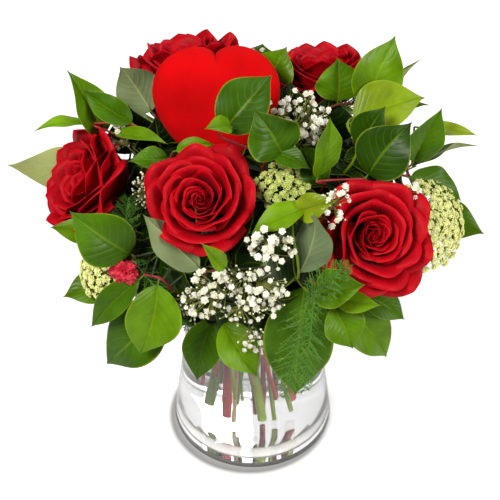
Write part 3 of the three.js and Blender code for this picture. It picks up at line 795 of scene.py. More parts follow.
forward = (0, -0.6, 0.8)
backward = (0, 0.6, 0.8)
sprigs = {    # each leaf: where it starts, its tip, its width, the way its top faces, and its tone; a tone near 0 paints a leaf deep in the bouquet near black, as painted shade
    "salal_centre": [
        ((13, -43, 335), (42, -60, 331), 16, forward, 0.45),
        ((24, -46, 330), (1, -44, 372), 38, (0.2, -0.9, 0.3), 0.42),
        ((-26, -36, 344), (14, -12, 383), 38, (-0.2, -0.8, 0.6), 0.36),
        ((-16, -42, 356), (-35, -60, 367), 14, forward, 0.7),
    ],
    "salal_inner_left": [
        ((-64, -27, 316), (-95, -36, 321), 18, forward, 0.55),
        ((-62, -26, 322), (-30, -24, 328), 12, forward, 0.75),
    ],
    "salal_left_back": [
        ((-120, 40, 266), (-205, 26, 270), 40, (0.1, 0.4, -0.9), 0.85),
        ((-120, 10, 308), (-144, 22, 366), 28, (0.6, -0.7, 0.3), 0.62),
        ((-92, 0, 328), (-133, 14, 353), 20, forward, 0.5),
        ((-128, 6, 326), (-171, -8, 331), 11, (0, -0.2, 1), 0.8),
        ((-112, 0, 322), (-66, -30, 335), 14, (0.1, -0.3, 1), 0.7),
        ((-92, 24, 284), (-100, 26, 330), 42, forward, 0.02),
    ],
    "salal_back_left": [
        ((-80, 30, 318), (-107, 42, 357), 34, (-0.2, 0.8, -0.5), 0.1),
        ((-76, 46, 300), (-76, 55, 346), 24, forward, 0.6),
        ((-72, 12, 286), (-78, 14, 328), 40, forward, 0.0),
        ((-92, 60, 288), (-150, 75, 310), 38, (-0.3, 0.5, 0.8), 0.4),
    ],
    "salal_back": [
        ((-5, 110, 280), (-30, 165, 290), 40, backward, 0.5),
        ((5, 112, 290), (40, 160, 305), 38, backward, 0.6),
        ((0, 108, 294), (8, 148, 318), 36, backward, 0.4),
        ((12, 58, 325), (27, 62, 363), 34, forward, 0.65),
    ],
    "salal_back_right": [
        ((85, 55, 290), (150, 80, 300), 40, (0.3, 0.5, 0.8), 0.5),
        ((110, 60, 300), (138, 88, 338), 36, backward, 0.4),
        ((68, 28, 330), (67, 40, 366), 36, forward, 0.62),
        ((28, 34, 294), (30, 40, 344), 44, forward, 0.0),
        ((60, 30, 290), (62, 34, 336), 46, forward, 0.03),
    ],
    "salal_right_back": [
        ((82, -20, 320), (100, -18, 358), 27, (-0.2, -0.8, 0.5), 0.30),
        ((74, 0, 330), (134, 10, 350), 40, (-0.1, -0.5, 0.9), 0.88),
        ((86, 16, 330), (111, 40, 386), 38, (0.15, -0.9, 0.4), 0.70),
    ],
    "salal_right_side": [
        ((140, 30, 222), (199, 12, 210), 32, forward, 0.6),
        ((130, 35, 260), (190, 55, 275), 38, (0.3, 0.5, 0.8), 0.5),
        ((124, 5, 276), (174, 4, 252), 26, (0.2, -0.4, 0.9), 0.55),
        ((100, 6, 286), (112, 10, 332), 44, forward, 0.02),
        ((126, -6, 294), (146, -5, 348), 27, (0.3, -0.8, 0.5), 0.55),
        ((128, 8, 322), (179, 5, 318), 13, (0, -0.3, 1), 0.9),
    ],
    "salal_right_upper": [
        ((55, -46, 305), (36, -42, 340), 24, forward, 0.30),
        ((48, -54, 314), (56, -50, 370), 24, (0.6, -0.7, 0.3), 0.66),
        ((86, -42, 308), (119, -32, 353), 40, (-0.2, -0.8, 0.5), 0.24),
    ],
    "salal_right_low": [
        ((60, -88, 228), (110, -95, 166), 36, forward, 0.68),
        ((85, -85, 229), (120, -95, 209), 22, forward, 0.5),
        ((70, -70, 224), (96, -84, 172), 34, (0.3, -0.7, 0.5), 0.4),
    ],
    "salal_front_right": [
        ((48, -84, 205), (48, -108, 160), 24, forward, 0.45),
        ((40, -92, 252), (34, -118, 142), 50, (-0.1, -0.85, 0.5), 0.55),
        ((60, -106, 238), (77, -125, 206), 30, forward, 0.62),
        ((58, -108, 243), (96, -118, 246), 16, forward, 0.78),
        ((44, -106, 248), (82, -122, 270), 28, forward, 0.62),
    ],
    "salal_front": [
        ((34, -99, 256), (45, -108, 327), 30, (0.5, 0.8, -0.3), 0.0),
        ((30, -86, 308), (59, -96, 328), 20, (0.2, -0.7, 0.7), 0.92),
        ((42, -84, 314), (-2, -98, 300), 20, (-0.2, -0.4, 0.9), 0.78),
    ],
    "salal_front_left": [
        ((-30, -78, 202), (-46, -103, 147), 30, forward, 0.5),
        ((-26, -88, 204), (4, -116, 166), 30, forward, 0.72),
        ((-36, -100, 262), (-82, -92, 312), 28, (-0.5, 0.5, -0.7), 0.15),
        ((-20, -108, 272), (-37, -120, 308), 12, forward, 0.8),
    ],
    "salal_left_low": [
        ((-58, -82, 226), (-122, -90, 153), 44, forward, 0.46),
        ((-72, -94, 252), (-89, -120, 193), 40, (0.2, -0.8, 0.6), 0.68),
        ((-84, -88, 250), (-131, -90, 195), 22, forward, 0.5),
    ],
    "salal_left_front": [
        ((-104, -44, 212), (-156, -58, 200), 30, forward, 0.62),
        ((-92, -76, 258), (-138, -76, 302), 40, (-0.2, -0.7, 0.6), 0.5),
        ((-118, -64, 266), (-157, -64, 278), 18, forward, 0.75),
    ],
    "salal_rear_low_right": [
        ((60, 60, 220), (120, 90, 180), 38, (0.3, 0.7, 0.6), 0.5),
        ((40, 85, 240), (50, 150, 225), 42, backward, 0.6),
        ((60, 95, 262), (110, 135, 250), 40, backward, 0.4),
    ],
    "salal_rear_low_left": [
        ((-70, 60, 220), (-130, 75, 190), 40, (-0.3, 0.7, 0.6), 0.5),
        ((-30, 85, 238), (-50, 150, 215), 42, backward, 0.4),
        ((-60, 95, 260), (-110, 135, 245), 40, backward, 0.6),
    ],
}
sprigShape = {"radius": 0.0016, "petiole": 0.0009}
innerShell = {    # leaves laid like shingles over the heart of the bouquet, given near-black tones as painted shade of its deep inside
    "centre": (0, 0, 228), "halves": (126, 96, 82), "count": 270, "lowest": 0.156,
    "width": (0.032, 0.048), "length": (0.048, 0.072), "tones": (0.0, 0.16),
}


def shellLeaves():
    # Each leaf of the inner shell belongs to the sprig that grows nearest to it.
    chance = random.Random(77)
    middle, halves = metres(innerShell["centre"]), metres(innerShell["halves"])
    growth = {node: metres(leaves[0][0]) for node, leaves in sprigs.items()}
    owned = {node: [] for node in sprigs}
    for i in range(innerShell["count"]):
        height = 1 - 2 * (i + 0.5) / innerShell["count"]
        around = i * goldenTurn
        flat = math.sqrt(1 - height * height)
        normal = Vector((flat * math.cos(around), flat * math.sin(around), height))
        depth = chance.uniform(0.84, 1.0)
        spot = middle + stretched(normal, halves) * depth
        tilt = jitter(chance, 0.45)
        way = Vector((normal.x, normal.y, -0.25)) + tilt * 1.6
        way = (way - normal * way.dot(normal)).normalized()
        length = chance.uniform(*innerShell["length"])
        start = spot - way * length * 0.6 - normal * 0.010
        tip = spot + way * length * 0.4 + normal * chance.uniform(-0.004, 0.010)
        width = chance.uniform(*innerShell["width"])
        # Low tones paint the shell's leaves near black: painted shade of the bouquet's inside.
        tone = chance.uniform(*innerShell["tones"])
        if min(start.z, tip.z) > innerShell["lowest"]:
            owner = min(growth, key=lambda node: (growth[node] - spot).length)
            owned[owner].append((start, tip, width, normal + tilt, tone))
    return owned


shellSpecs = shellLeaves()
tuft = {"node": "salal_left_front", "centre": (-99, -84, 249), "size": (9, 6, 7.5), "crumple": 0.5}


def makeTuft():
    # A small crumpled red flower head.
    deselectAll()
    bpy.ops.mesh.primitive_ico_sphere_add(subdivisions=5, radius=1)
    head = bpy.context.active_object
    places = []
    for vertex in head.data.vertices:
        way = vertex.co.normalized()
        fold = noise.noise(way * 1.4) + 1 - 2.4 * abs(noise.noise(way * 3.1))
        fold = fold - abs(noise.noise(way * 7 + Vector((3, 1, 2))))
        swollen = way * (1 + tuft["crumple"] * fold)
        places.append(metres([a * b for a, b in zip(swollen, tuft["size"])]) + metres(tuft["centre"]))
    setPlaces(head, places)
    head.data.materials.append(crumpledRed)
    return head


def makeSprig(node, leaves):
    chance = random.Random(node)
    specs = []
    for start, tip, width, facing, tone in leaves:
        specs.append((metres(start), metres(tip), width * 0.001, Vector(facing), tone))
    route = stemRoute(node, sprigShape["radius"], [leaf[0] for leaf in specs])
    specs += shellSpecs[node]
    blades = leafSet(node, [spec[:4] for spec in specs], chance, [spec[4] for spec in specs])
    bark = chance.choice((0.15, 0.45, 0.75, 0.9))
    stem = barkTube("twig", route, sprigShape["radius"], bark, 0.5, 0.35, len(node))
    stalks = []
    thin = sprigShape["petiole"]
    for spec in specs:
        start, tip = spec[:2]
        near = min(route, key=lambda place: (place - start).length)
        base = [(near, thin), (near.lerp(start, 0.5), thin)]
        stalks.append([*base, (start, thin * 0.9), (start.lerp(tip, 0.14), thin * 0.6)])
    petioles = tubes("petioles", stalks[:len(leaves)], 1, stemBark, "stemTone", 0.3)
    # The inner shell's stalks take the near-black stop: painted shade.
    hidden = tubes("hiddenPetioles", stalks[len(leaves):], 1, stemBark, "stemTone", 0.62)
    extra = [makeTuft()] if node == tuft["node"] else []
    sprig = joinPieces(pieceName(node), [blades, stem, petioles, hidden, *extra])
    finishPiece(sprig, node, 60)


for node, leaves in sprigs.items():
    makeSprig(node, leaves)
print("salal made")

# Roses

roseShape = {
    "count": 44, "turn": math.radians(137.5), "across": 16, "along": 12, "fine": 5,
    "thickness": 0.0003, "base": 0.031, "stemRadius": 0.0032,
    "reach": (0.0016, 0.0265), "length": (0.0370, 0.0500), "halfTurn": (2.3, 0.92),
    "lean": (-0.14, 0.62), "curl": (0.25, 2.0), "curlStart": (0.88, 0.66), "tuck": (0.30, 0.10),
    "point": 0.0075, "sizes": {"rose_front": 0.89},
    "stemTones": {"rose_right": 0.95, "rose_left": 0.95, "rose_front": 0.05},
    "hip": [(0.0, 0.0015), (0.002, 0.0052), (0.006, 0.0066), (0.011, 0.0060), (0.015, 0.0036)],
    "sepals": 5, "sepalWidth": 0.009,
}
roses = {
    "rose_front": ((-40, -68, 307), (-0.1, -0.6, 0.8), 4),
    "rose_right": ((92, -75, 278), (0.25, -0.72, 0.62), 9),
    "rose_left": ((-133, -20, 288), (-0.80, -0.25, 0.55), 12),
    "rose_back_left": ((-55, 92, 333), (-0.15, 0.30, 0.94), 21),
    "rose_back_right": ((58, 82, 328), (-0.1, 0.3, 0.95), 33),
}
petalGrid, petalU, petalV = gridSheet(roseShape["across"], roseShape["along"])


def petalPlaces(number, chance):
    # A petal wraps a cup about the bloom's axis, leans out, and rolls back at its rim.
    shape = roseShape
    share = number / (shape["count"] - 1)
    turn = shape["turn"] * number + chance.uniform(-0.15, 0.15)
    reach = lerp(*shape["reach"], share ** 0.9)
    length = lerp(*shape["length"], ease(share * 1.4)) * chance.uniform(0.96, 1.04)
    halfTurn = lerp(*shape["halfTurn"], share ** 0.6)
    lean = lerp(*shape["lean"], share ** 1.5) + chance.uniform(-0.05, 0.05)
    curl = lerp(*shape["curl"], share ** 1.1) * chance.uniform(0.8, 1.2)
    curlStart = lerp(*shape["curlStart"], share)
    tuck = lerp(*shape["tuck"], share)
    point = lerp(0.0, shape["point"], ease(share * 1.3))
    phase = chance.uniform(0, 6.28)
    skew = chance.uniform(-0.06, 0.06)
    steps = shape["along"] * shape["fine"]
    u = np.linspace(-1, 1, shape["across"] + 1)[:, None]
    v = np.linspace(0, 1, steps + 1)[None, :]
    outline = length * (1 - 0.20 * np.abs(u) ** 2.2 + skew * u)
    outline = outline + point * np.clip(1 - np.abs(u) / 0.85, 0, 1) ** 1.4
    roll = curl * (0.40 + 0.85 * np.abs(u) ** 1.5)
    out = lerp(1.25, lean, ease(v / 0.32)) + roll * np.clip((v - curlStart) / (1 - curlStart), 0, 1) ** 1.5
    radius = np.cumsum(np.sin(out) * outline / steps, axis=1)
    height = np.cumsum(np.cos(out) * outline / steps, axis=1)
    waist = radius[:, int(0.36 * steps)][:, None]
    settle = ease(v / 0.36)
    radius = radius - waist * settle + reach * settle * (1 + tuck * u)
    ruffle = 0.0012 * share * np.sin(3.2 * u + phase) * v ** 4 + 0.0006 * np.sin(7 * u + 2 * phase) * v ** 5
    radius = np.maximum(0.0006, radius + ruffle)
    height = height + 0.0008 * np.sin(5 * u + phase) * v ** 6
    half = halfTurn * (0.35 + 0.65 * ease(v / 0.5) ** 0.8)
    angle = turn + u * half / (1 + np.maximum(0, radius - reach) / 0.030 * 0.55)
    row = np.rint((petalU + 1) / 2 * shape["across"]).astype(int)
    column = np.rint(petalV * steps).astype(int)
    places = np.stack([radius * np.cos(angle), radius * np.sin(angle), height], axis=-1)
    return places[row, column], share


def makeBloom(node, centre, facing, seed):
    chance = random.Random(seed)
    petals = []
    for number in range(roseShape["count"]):
        petal = copyOf(petalGrid)
        places, share = petalPlaces(number, chance)
        setPlaces(petal, places)
        paint(petal, "petalShare", share)
        petals.append(petal)
    bloom = joinPieces(pieceName(node + "_bloom"), petals)
    axis = Vector(facing).normalized()
    size = roseShape["sizes"].get(node, 1.0)
    turn = aimed(axis, metres(centre) - axis * roseShape["base"] * size, chance.uniform(0, 6.28))
    bloom.data.transform(turn @ Matrix.Scale(size, 4))
    bloom.data.materials.append(rosePetal)
    applyModifier(bloom, "SOLIDIFY", thickness=roseShape["thickness"], offset=0)
    finishPiece(bloom, node + "_bloom")


def makeRoseStem(node, centre, facing, seed):
    chance = random.Random(seed)
    axis = Vector(facing).normalized()
    middle = metres(centre)
    hipTop = middle - axis * (roseShape["base"] - 0.001)
    route = stemRoute(node, roseShape["stemRadius"], [middle - axis * 0.070, middle - axis * 0.040], 8)
    tone = roseShape["stemTones"].get(node, 0.3)
    stem = barkTube("stem", route, roseShape["stemRadius"], tone, 0.75, 0.12, seed)
    hipRings = [(hipTop - axis * drop, radius) for drop, radius in roseShape["hip"]]
    hip = tubes("hip", [hipRings], 3, stemBark, "stemTone", 0.05)
    sepals = []
    turned = aimed(axis, hipTop)
    for i in range(roseShape["sepals"]):
        angle = 2 * math.pi * i / roseShape["sepals"] + chance.uniform(-0.2, 0.2)
        across, along = math.cos(angle), math.sin(angle)
        start = turned @ Vector((0.003 * across, 0.003 * along, -0.004))
        tip = turned @ Vector((0.026 * across, 0.026 * along, -0.014 + chance.uniform(-0.006, 0.012)))
        sepals.append((start, tip, roseShape["sepalWidth"], axis))
    leaves = leafSet("sepals", sepals, chance, [0.6] * len(sepals))
    thorns = []
    for place in route[2:-4:3]:
        way = Vector((chance.uniform(-1, 1), chance.uniform(-1, 1), 0.25)).normalized()
        tip = place + way * 0.0085 - Vector((0, 0, 0.001))
        thorns.append([(place, 0.0022), (place + way * 0.005, 0.0012), (tip, 0.0001)])
    spikes = tubes("thorns", thorns, 1, stemBark, "stemTone", 0.8)
    whole = joinPieces(pieceName(node + "_stem"), [leaves, stem, hip, spikes])
    finishPiece(whole, node + "_stem", 60)


for node, (centre, facing, seed) in roses.items():
    makeBloom(node, centre, facing, seed)
    makeRoseStem(node, centre, facing, seed)
print("roses made")

# The flocked heart and its stick

heartShape = {
    "width": 0.102, "thickness": 0.044, "centre": (-29, 22, 333), "facing": (0.05, -0.88, 0.47),
    "wave": (18.5, -4.0, -1.8, -0.3),    # the heights of an outline that is 32 units wide
    "stick": 0.0015,
}


def heartHeight(turn):
    waves = sum(size * np.cos((i + 1) * turn) for i, size in enumerate(heartShape["wave"]))
    return waves * heartShape["width"] / 32


def heartTurn():
    front = Vector(heartShape["facing"]).normalized()
    side = Vector((0, 0, 1)).cross(front).normalized()
    up = front.cross(side)
    turn = Matrix((side, up, front)).transposed().to_4x4()
    return Matrix.Translation(metres(heartShape["centre"])) @ turn


def makeHeart():
    deselectAll()
    bpy.ops.mesh.primitive_uv_sphere_add(segments=128, ring_count=72, radius=1)
    heart = bpy.context.active_object
    heart.name = "heart"
    places = vertexPlaces(heart)
    turn = np.arctan2(places[:, 0], places[:, 1])
    reach = np.hypot(places[:, 0], places[:, 1])
    scale = heartShape["width"] / 32
    x = 16 * np.sin(turn) ** 3 * scale
    y = heartHeight(turn)
    blend = ease((reach - 0.3) / 0.7)
    roundX, roundY = 0.044 * np.sin(turn), 0.046 * np.cos(turn)
    x = lerp(roundX, x, blend) * reach
    y = lerp(roundY, y, blend) * reach
    z = np.sign(places[:, 2]) * np.abs(places[:, 2]) ** 0.9 * heartShape["thickness"] / 2
    setPlaces(heart, np.stack([x, y, z], axis=1))
    heart.data.transform(heartTurn())
    heart.data.materials.append(flock)
    cleanMesh(heart, 1e-7)
    finishPiece(heart, "heart")


def makeHeartStick():
    turn = heartTurn()
    tip = heartHeight(math.pi)
    upper = [turn @ Vector((0, tip - 0.012, 0)), turn @ Vector((0, tip + 0.004, 0))]
    route = stemRoute("heart_stick", heartShape["stick"], upper, 8)
    stick = tubes("heartStick", [[(place, heartShape["stick"]) for place in route]], 3, wood)
    finishPiece(stick, "heart_stick", 60)


makeHeart()
makeHeartStick()
print("heart made")

# Lace flowers

laceFlowers = {
    "lace_flower_middle": ((23, -58, 313), 23, (0, -0.6, 0.8), (0.0, 0.45)),
    "lace_flower_right": ((153, -28, 252), 41, (0.55, -0.64, 0.53), (0.55, 1.0)),
    "lace_flower_left": ((-130, -65, 236), 27, (-0.72, -0.5, 0.45), (0.5, 1.0)),
}
laceShape = {
    "raySpacing": 0.0066, "florets": 20, "floret": 0.0012, "dome": 0.42, "head": 0.0034, "stem": 0.0015,
}


def laceFloretTemplate():
    # A tiny five-petalled star, thick enough to be a closed shape.
    deselectAll()
    bpy.ops.mesh.primitive_circle_add(vertices=10, radius=1, fill_type="TRIFAN")
    star = bpy.context.active_object
    places = vertexPlaces(star)
    angle = np.arctan2(places[:, 1], places[:, 0])
    inner = np.cos(5 * angle) < 0
    rim = np.hypot(places[:, 0], places[:, 1]) > 0.5
    places[inner & rim, :2] *= 0.5
    places[~inner & rim, 2] += 0.35
    setPlaces(star, places)
    applyModifier(star, "SOLIDIFY", thickness=0.25, offset=0)
    star.data.materials.append(laceFloret)
    return star


laceStar = laceFloretTemplate()


def makeLaceFlower(node, centre, radius, facing, shades):
    chance = random.Random(node)
    axis = Vector(facing).normalized()
    middle, size = metres(centre), radius * 0.001
    turn = aimed(axis, middle)
    hub = Vector((0, 0, -size))
    stalks, turns, tones = [], [], []
    rays = int((size / laceShape["raySpacing"]) ** 2 * 2.6)
    for i in range(rays):
        reach = math.sqrt((i + 0.5) / rays)
        angle = i * goldenTurn
        head = Vector((reach * math.cos(angle), reach * math.sin(angle), 0)) * size * 0.92
        head.z = -laceShape["dome"] * size * reach ** 2 + chance.uniform(-0.0015, 0.0015)
        outward = (head - hub).normalized()
        neck = head - outward * 0.004
        bulge = hub.lerp(neck, 0.5) + Vector((head.x, head.y, 0)) * 0.12
        stalks.append([(turn @ hub, 0.0005), (turn @ bulge, 0.0004), (turn @ neck, 0.00035)])
        for k in range(laceShape["florets"]):
            spread = math.sqrt((k + 0.4) / laceShape["florets"])
            around = k * goldenTurn + i
            local = Vector((spread * math.cos(around), spread * math.sin(around), 0)) * laceShape["head"]
            local.z = 0.0016 * (1 - spread ** 2) + chance.uniform(-0.0004, 0.0004)
            place = head + outward.to_track_quat("Z", "Y") @ local
            lean = Vector((chance.uniform(-0.4, 0.4), chance.uniform(-0.4, 0.4), 0.2))
            face = (outward + lean).normalized()
            stalks.append([(turn @ neck, 0.00022), (turn @ place, 0.00018)])
            scale = laceShape["floret"] * chance.uniform(0.75, 1.25)
            upright = aimed(face, place + face * 0.0003, chance.uniform(0, 6))
            turns.append(turn @ upright @ Matrix.Scale(scale, 4))
            tones.append(chance.uniform(*shades))
    florets = stackCopies("florets", laceStar, turns, tones)
    rods = tubes("rays", stalks, 0, laceStalk)
    route = stemRoute(node, laceShape["stem"], [middle - axis * size * 1.6, middle - axis * size], 8)
    stem = barkTube("stem", route, laceShape["stem"], 0.1, 0.8, 0.0, 1)
    flower = joinPieces(pieceName(node), [florets, rods, stem])
    finishPiece(flower, node, 50)


for node, settings in laceFlowers.items():
    makeLaceFlower(node, *settings)
print("lace flowers made")

# Gypsophila

gypsophila = {    # each cloud: its centre, its half sizes, its open florets and its buds
    "gypsophila_front": [
        ((-14, -110, 250), (42, 10, 32), 100, 150),
        ((11, -108, 293), (22, 8, 20), 36, 26),
        ((2, -110, 200), (14, 8, 15), 12, 30),
        ((-48, -98, 226), (18, 8, 18), 6, 44),
        ((60, -92, 322), (13, 8, 20), 22, 10),
    ],
    "gypsophila_top": [
        ((36, 4, 330), (27, 14, 29), 84, 40),
        ((76, 40, 332), (18, 10, 20), 10, 56),
        ((7, -2, 352), (8, 6, 10), 7, 8),
        ((120, -48, 300), (8, 6, 10), 9, 4),
    ],
    "gypsophila_left": [
        ((-106, 0, 318), (11, 8, 18), 9, 20),
        ((-84, -50, 304), (10, 8, 19), 3, 70),
    ],
    "gypsophila_rear": [
        ((10, 130, 300), (34, 18, 20), 46, 30),
        ((70, 130, 284), (20, 12, 16), 24, 16),
    ],
}
gypShape = {"floret": 0.0027, "bud": 0.00105, "forks": 9, "stem": 0.0011}


def ruffledBall():
    # A small double flower: three frilled tiers of petals over a green cup, in one closed skin.
    deselectAll()
    bpy.ops.mesh.primitive_uv_sphere_add(segments=10, ring_count=8, radius=1)
    ball = bpy.context.active_object
    places = vertexPlaces(ball)
    ring = np.rint((1 - np.arccos(np.clip(places[:, 2], -1, 1)) / math.pi) * 8).astype(int)
    angle = np.arctan2(places[:, 1], places[:, 0])
    petal = np.rint(angle / (2 * math.pi) * 10).astype(int) % 2
    radii = np.array([0, 0.34, 0.45, 1.0, 0.66, 0.80, 0.40, 0.42, 0])[ring]
    heights = np.array([-1.0, -0.8, -0.45, 0.0, 0.10, 0.50, 0.42, 0.78, 0.55])[ring]
    frill = np.array([0, 0, 0, 0.13, 0, 0.14, 0, 0.1, 0])[ring] * np.where(petal == ring % 2, 1, -1)
    around = angle + 0.3 * (ring % 3)
    radii = radii * (1 + frill)
    heights = heights + frill * 0.9
    setPlaces(ball, np.stack([radii * np.cos(around), radii * np.sin(around), heights], axis=1))
    ball.data.materials.append(gypsophilaPetal)
    ball.data.materials.append(calyxGreen)
    for face in ball.data.polygons:
        face.material_index = 1 if face.center.z < -0.42 else 0
    return ball


def budBall():
    deselectAll()
    bpy.ops.mesh.primitive_uv_sphere_add(segments=7, ring_count=5, radius=1)
    bud = bpy.context.active_object
    bud.scale = (0.8, 0.8, 1.1)
    bpy.ops.object.transform_apply(location=False, rotation=False, scale=True)
    bud.data.materials.append(gypsophilaPetal)
    bud.data.materials.append(calyxGreen)
    for face in bud.data.polygons:
        face.material_index = 1 if face.center.z < 0.1 else 0
    return bud


gypFloret = ruffledBall()
gypBud = budBall()


def makeGypsophila(node, clouds):
    chance = random.Random(node)
    florets, buds, floretTones, budTones, stalks = [], [], [], [], []
    hubs = [metres(cloud[0]).lerp(Vector((0, 0, tieHeight)), 0.3) for cloud in clouds]
    for hub in hubs[1:]:
        stalks.append([(hubs[0], 0.0008), (hub, 0.0006)])
    for hub, (centre, halfSizes, count, budCount) in zip(hubs, clouds):
        middle, halves = metres(centre), metres(halfSizes)
        forks = []
        for i in range(gypShape["forks"]):
            way = jitter(chance, 1)
            fork = (middle + stretched(way, halves) * 0.55).lerp(hub, 0.25)
            forks.append(fork)
            stalks.append([(hub, 0.0006), (hub.lerp(fork, 0.5) + way * 0.002, 0.0005), (fork, 0.00045)])
        for i in range(count + budCount):
            way = Vector((chance.gauss(0, 1), chance.gauss(0, 1), chance.gauss(0, 1))).normalized()
            way *= chance.uniform(0.45, 1.0)
            place = middle + stretched(way, halves)
            root = min(forks, key=lambda fork: (fork - place).length)
            face = (place - root).normalized()
            face = (face + Vector((0, -0.3, 0.5)) + jitter(chance, 0.4)).normalized()
            elbow = root.lerp(place, 0.55) - face * 0.002
            if i < count:
                scale = gypShape["floret"] * chance.uniform(0.6, 1.2)
                florets.append(aimed(face, place, chance.uniform(0, 6)) @ Matrix.Scale(scale, 4))
                floretTones.append(chance.uniform(0.5, 1.0))
            else:
                scale = gypShape["bud"] * chance.uniform(0.7, 1.3)
                buds.append(aimed(face, place) @ Matrix.Scale(scale, 4))
                budTones.append(chance.uniform(0.2, 0.9))
            stalks.append([(root, 0.0004), (elbow, 0.0003), (place - face * scale * 0.7, 0.00028)])
    flowers = stackCopies("florets", gypFloret, florets, floretTones)
    knots = stackCopies("buds", gypBud, buds, budTones)
    rods = tubes("stalks", stalks, 0, calyxGreen, "tone", 0.2)
    route = stemRoute(node, gypShape["stem"], [hubs[0]], 8)
    stem = barkTube("stem", route, gypShape["stem"], 0.2, 0.7, 0.3, 2)
    spray = joinPieces(pieceName(node), [flowers, knots, rods, stem])
    finishPiece(spray, node, 75)


for node, clouds in gypsophila.items():
    makeGypsophila(node, clouds)
print("gypsophila made")

# Ferns

ferns = {    # each frond: where it starts, its tip, its width and the way it faces; then the fern's tones, whose low range on fern_left is painted shade
    "fern_front": ([
        ((42, -108, 250), (26, -130, 158), 30, forward),
        ((46, -110, 246), (40, -131, 166), 20, forward),
        ((40, -110, 240), (70, -118, 286), 24, forward),
    ], (0.35, 1.0)),
    "fern_left": ([
        ((-104, -62, 258), (-134, -54, 274), 26, forward),
        ((-104, -66, 262), (-50, -104, 206), 16, forward),
        ((-100, -56, 262), (-96, -50, 296), 20, forward),
    # fern_left's dark tones are painted shade.
    ], (0.0, 0.5)),
}
fernShape = {
    "branches": 44, "needles": 14, "needle": 0.0052, "needleRadius": 0.00024, "arch": 0.006, "stem": 0.0011,
}


def needleTemplate():
    deselectAll()
    bpy.ops.mesh.primitive_cone_add(vertices=3, radius1=1, radius2=0, depth=1, location=(0, 0, 0.5))
    bpy.ops.object.transform_apply(location=True, rotation=True, scale=True)
    needle = bpy.context.active_object
    needle.data.materials.append(fernGreen)
    return needle


fernNeedle = needleTemplate()


def makeFern(node, fronds, shades):
    chance = random.Random(node)
    turns, tones, stalks = [], [], []
    for start, tip, width, facing in fronds:
        start, tip, width = metres(start), metres(tip), width * 0.001
        along = tip - start
        side = along.cross(Vector(facing)).normalized()
        up = side.cross(along).normalized()
        arch = fernShape["arch"]
        rib = [start + along * t + up * arch * math.sin(math.pi * t) for t in np.linspace(0, 1, 12)]
        stalks.append([(place, lerp(0.0007, 0.0003, i / 11)) for i, place in enumerate(rib)])
        for i in range(fernShape["branches"]):
            t = lerp(0.08, 0.98, i / (fernShape["branches"] - 1))
            hand = 1 if i % 2 else -1
            reach = width * 0.62 * math.sin(math.pi * t ** 0.7) ** 0.7 + 0.002
            root = start + along * t + up * arch * math.sin(math.pi * t)
            lean = along.normalized() * chance.uniform(0.4, 1.5)
            way = (side * hand + lean + up * chance.uniform(-0.25, 0.35)).normalized()
            end = root + way * reach
            stalks.append([(root, 0.0003), (end, 0.00018)])
            tone = chance.uniform(*shades)
            for k in range(fernShape["needles"]):
                share = (k + 0.5) / fernShape["needles"]
                spot = root.lerp(end, share)
                splay = along.normalized() * chance.uniform(-1.2, 1.2) + up * chance.uniform(-0.8, 0.9)
                point = (way * chance.uniform(0.4, 1.2) + splay).normalized()
                size = fernShape["needle"] * lerp(1.0, 0.55, share) * chance.uniform(0.7, 1.2)
                thin = fernShape["needleRadius"]
                shape = Matrix.Diagonal((thin, thin, size, 1))
                turns.append(aimed(point, spot, chance.uniform(0, 2)) @ shape)
                tones.append(tone)
    needles = stackCopies("needles", fernNeedle, turns, tones)
    rods = tubes("ribs", stalks, 0, fernGreen, "tone", 0.5)
    route = stemRoute(node, fernShape["stem"], [metres(frond[0]) for frond in fronds], 8)
    stem = barkTube("stem", route, fernShape["stem"], 0.2, 0.6, 0.0, 3)
    fern = joinPieces(pieceName(node), [needles, rods, stem])
    finishPiece(fern, node, 60)


for node, (fronds, shades) in ferns.items():
    makeFern(node, fronds, shades)
print("ferns made")

for template in (leafGrid, petalGrid, laceStar, gypFloret, gypBud, fernNeedle):
    removePiece(template)

# Studio

studio = {
    "floor": 1.4, "white": (0.75, 0.75, 0.75), "glow": 0.48, "through": 0.30, "seen": 1.0, "bounced": 0.05,
    "sky": [(0.0, (0.02,) * 3), (0.50, (0.03,) * 3), (0.62, (0.11,) * 3), (1.0, (0.40,) * 3)],
    "footCentre": (-0.003, -0.002, 0.0), "footReach": 0.11,    # the painted soft shadow round the vase's foot
    "paintedFootShadow": [(0.0, (1,) * 3), (0.46, (0.95,) * 3), (0.56, (0.36,) * 3), (0.675, (0.24,) * 3),
                  (0.715, (0.76,) * 3), (0.78, (0.96,) * 3), (0.90, (1,) * 3)],
    "backdrop": [(0.0, (0.02,) * 3), (0.20, (0.06,) * 3), (0.38, (1.3,) * 3), (1.0, (1.4,) * 3)],
    "lamp": 0.6, "lamps": {    # each lamp's place, power and colour
        "keyLight": ((-0.8, -0.8, 1.5), 31, (1.0, 0.97, 0.90)),
        "fillLight": ((1.1, -0.8, 0.9), 18, (1.0, 0.97, 0.92)),
        "rimLight": ((0.3, 1.1, 1.3), 7, (1, 1, 1)),
    },
}


def areaLight(name, place, energy, colour):
    bpy.ops.object.light_add(type="AREA", location=place)
    light = bpy.context.active_object
    light.name = name
    light.data.energy = energy
    light.data.size = studio["lamp"]
    light.data.color = colour
    light.rotation_euler = (viewTarget - Vector(place)).to_track_quat("-Z", "Y").to_euler()


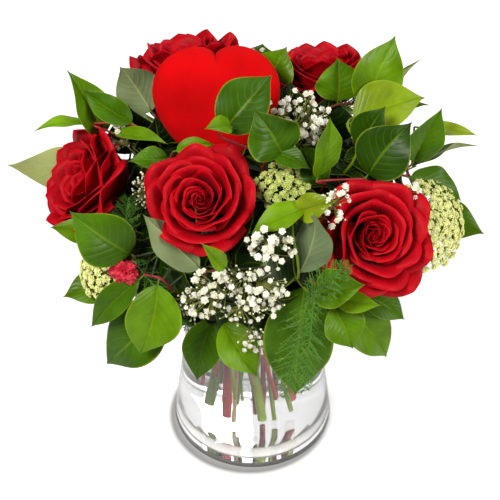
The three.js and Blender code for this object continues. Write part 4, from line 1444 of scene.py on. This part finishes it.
def makeFloor():
    # The floor glows white to the eye, and throws little light back up into the bouquet. A soft shadow round
    # the vase's foot is painted into its colour and glow, and it glows less when seen through the glass,
    # which paints shade into the vase's base.
    deselectAll()
    bpy.ops.mesh.primitive_circle_add(vertices=96, radius=studio["floor"], fill_type="NGON")
    floor = bpy.context.active_object
    floor.name = "studioFloor"
    material, tree, shader = newMaterial("studioWhite", Roughness=0.9, Specular_IOR_Level=0.0)
    place = addNode(tree, "TexCoord").outputs["Object"]
    away = addNode(tree, "VectorMath", {0: place, 1: studio["footCentre"]}, operation="DISTANCE")
    away = compute(tree, "DIVIDE", away.outputs["Value"], studio["footReach"])
    # Painted shadow round the vase's foot, in the floor's colour and its glow.
    shade = ramp(tree, away, studio["paintedFootShadow"])
    tree.links.new(mixColour(tree, 1.0, studio["white"], shade, "MULTIPLY"), shader.inputs["Base Color"])
    tree.links.new(shade, shader.inputs["Emission Color"])
    rays = addNode(tree, "LightPath")
    soft = compute(tree, "SUBTRACT", rays.outputs["Is Glossy Ray"], rays.outputs["Is Transmission Ray"])
    soft = compute(tree, "MAXIMUM", rays.outputs["Is Diffuse Ray"], soft)
    soft = compute(tree, "MAXIMUM", soft, rays.outputs["Diffuse Depth"], clamp=True)
    strength = remap(tree, rays.outputs["Is Transmission Ray"], 0.0, 1.0, studio["glow"], studio["through"])
    lost = remap(tree, soft, 0.0, 1.0, 0.0, studio["glow"] - studio["bounced"])
    tree.links.new(compute(tree, "SUBTRACT", strength, lost), shader.inputs["Emission Strength"])
    floor.data.materials.append(material)


def makeSky():
    world = bpy.data.worlds.new("studioWorld")
    world.use_nodes = True
    tree = world.node_tree
    split = addNode(tree, "SeparateXYZ", {0: addNode(tree, "TexCoord").outputs["Generated"]})
    soft = ramp(tree, split.outputs["Z"], studio["sky"])
    rays = addNode(tree, "LightPath")
    through = ramp(tree, split.outputs["Z"], studio["backdrop"])
    seen, bounced = rays.outputs["Is Transmission Ray"], rays.outputs["Diffuse Depth"]
    colour = mixColour(tree, compute(tree, "SUBTRACT", seen, bounced, clamp=True), soft, through)
    colour = mixColour(tree, rays.outputs["Is Camera Ray"], colour, (studio["seen"],) * 3)
    tree.links.new(colour, tree.nodes["Background"].inputs["Color"])
    bpy.context.scene.world = world


def makeStudio():
    makeFloor()
    makeSky()
    for name, lamp in studio["lamps"].items():
        areaLight(name, *lamp)
    bpy.context.scene.view_settings.view_transform = "Standard"


makeStudio()
print("studio made")
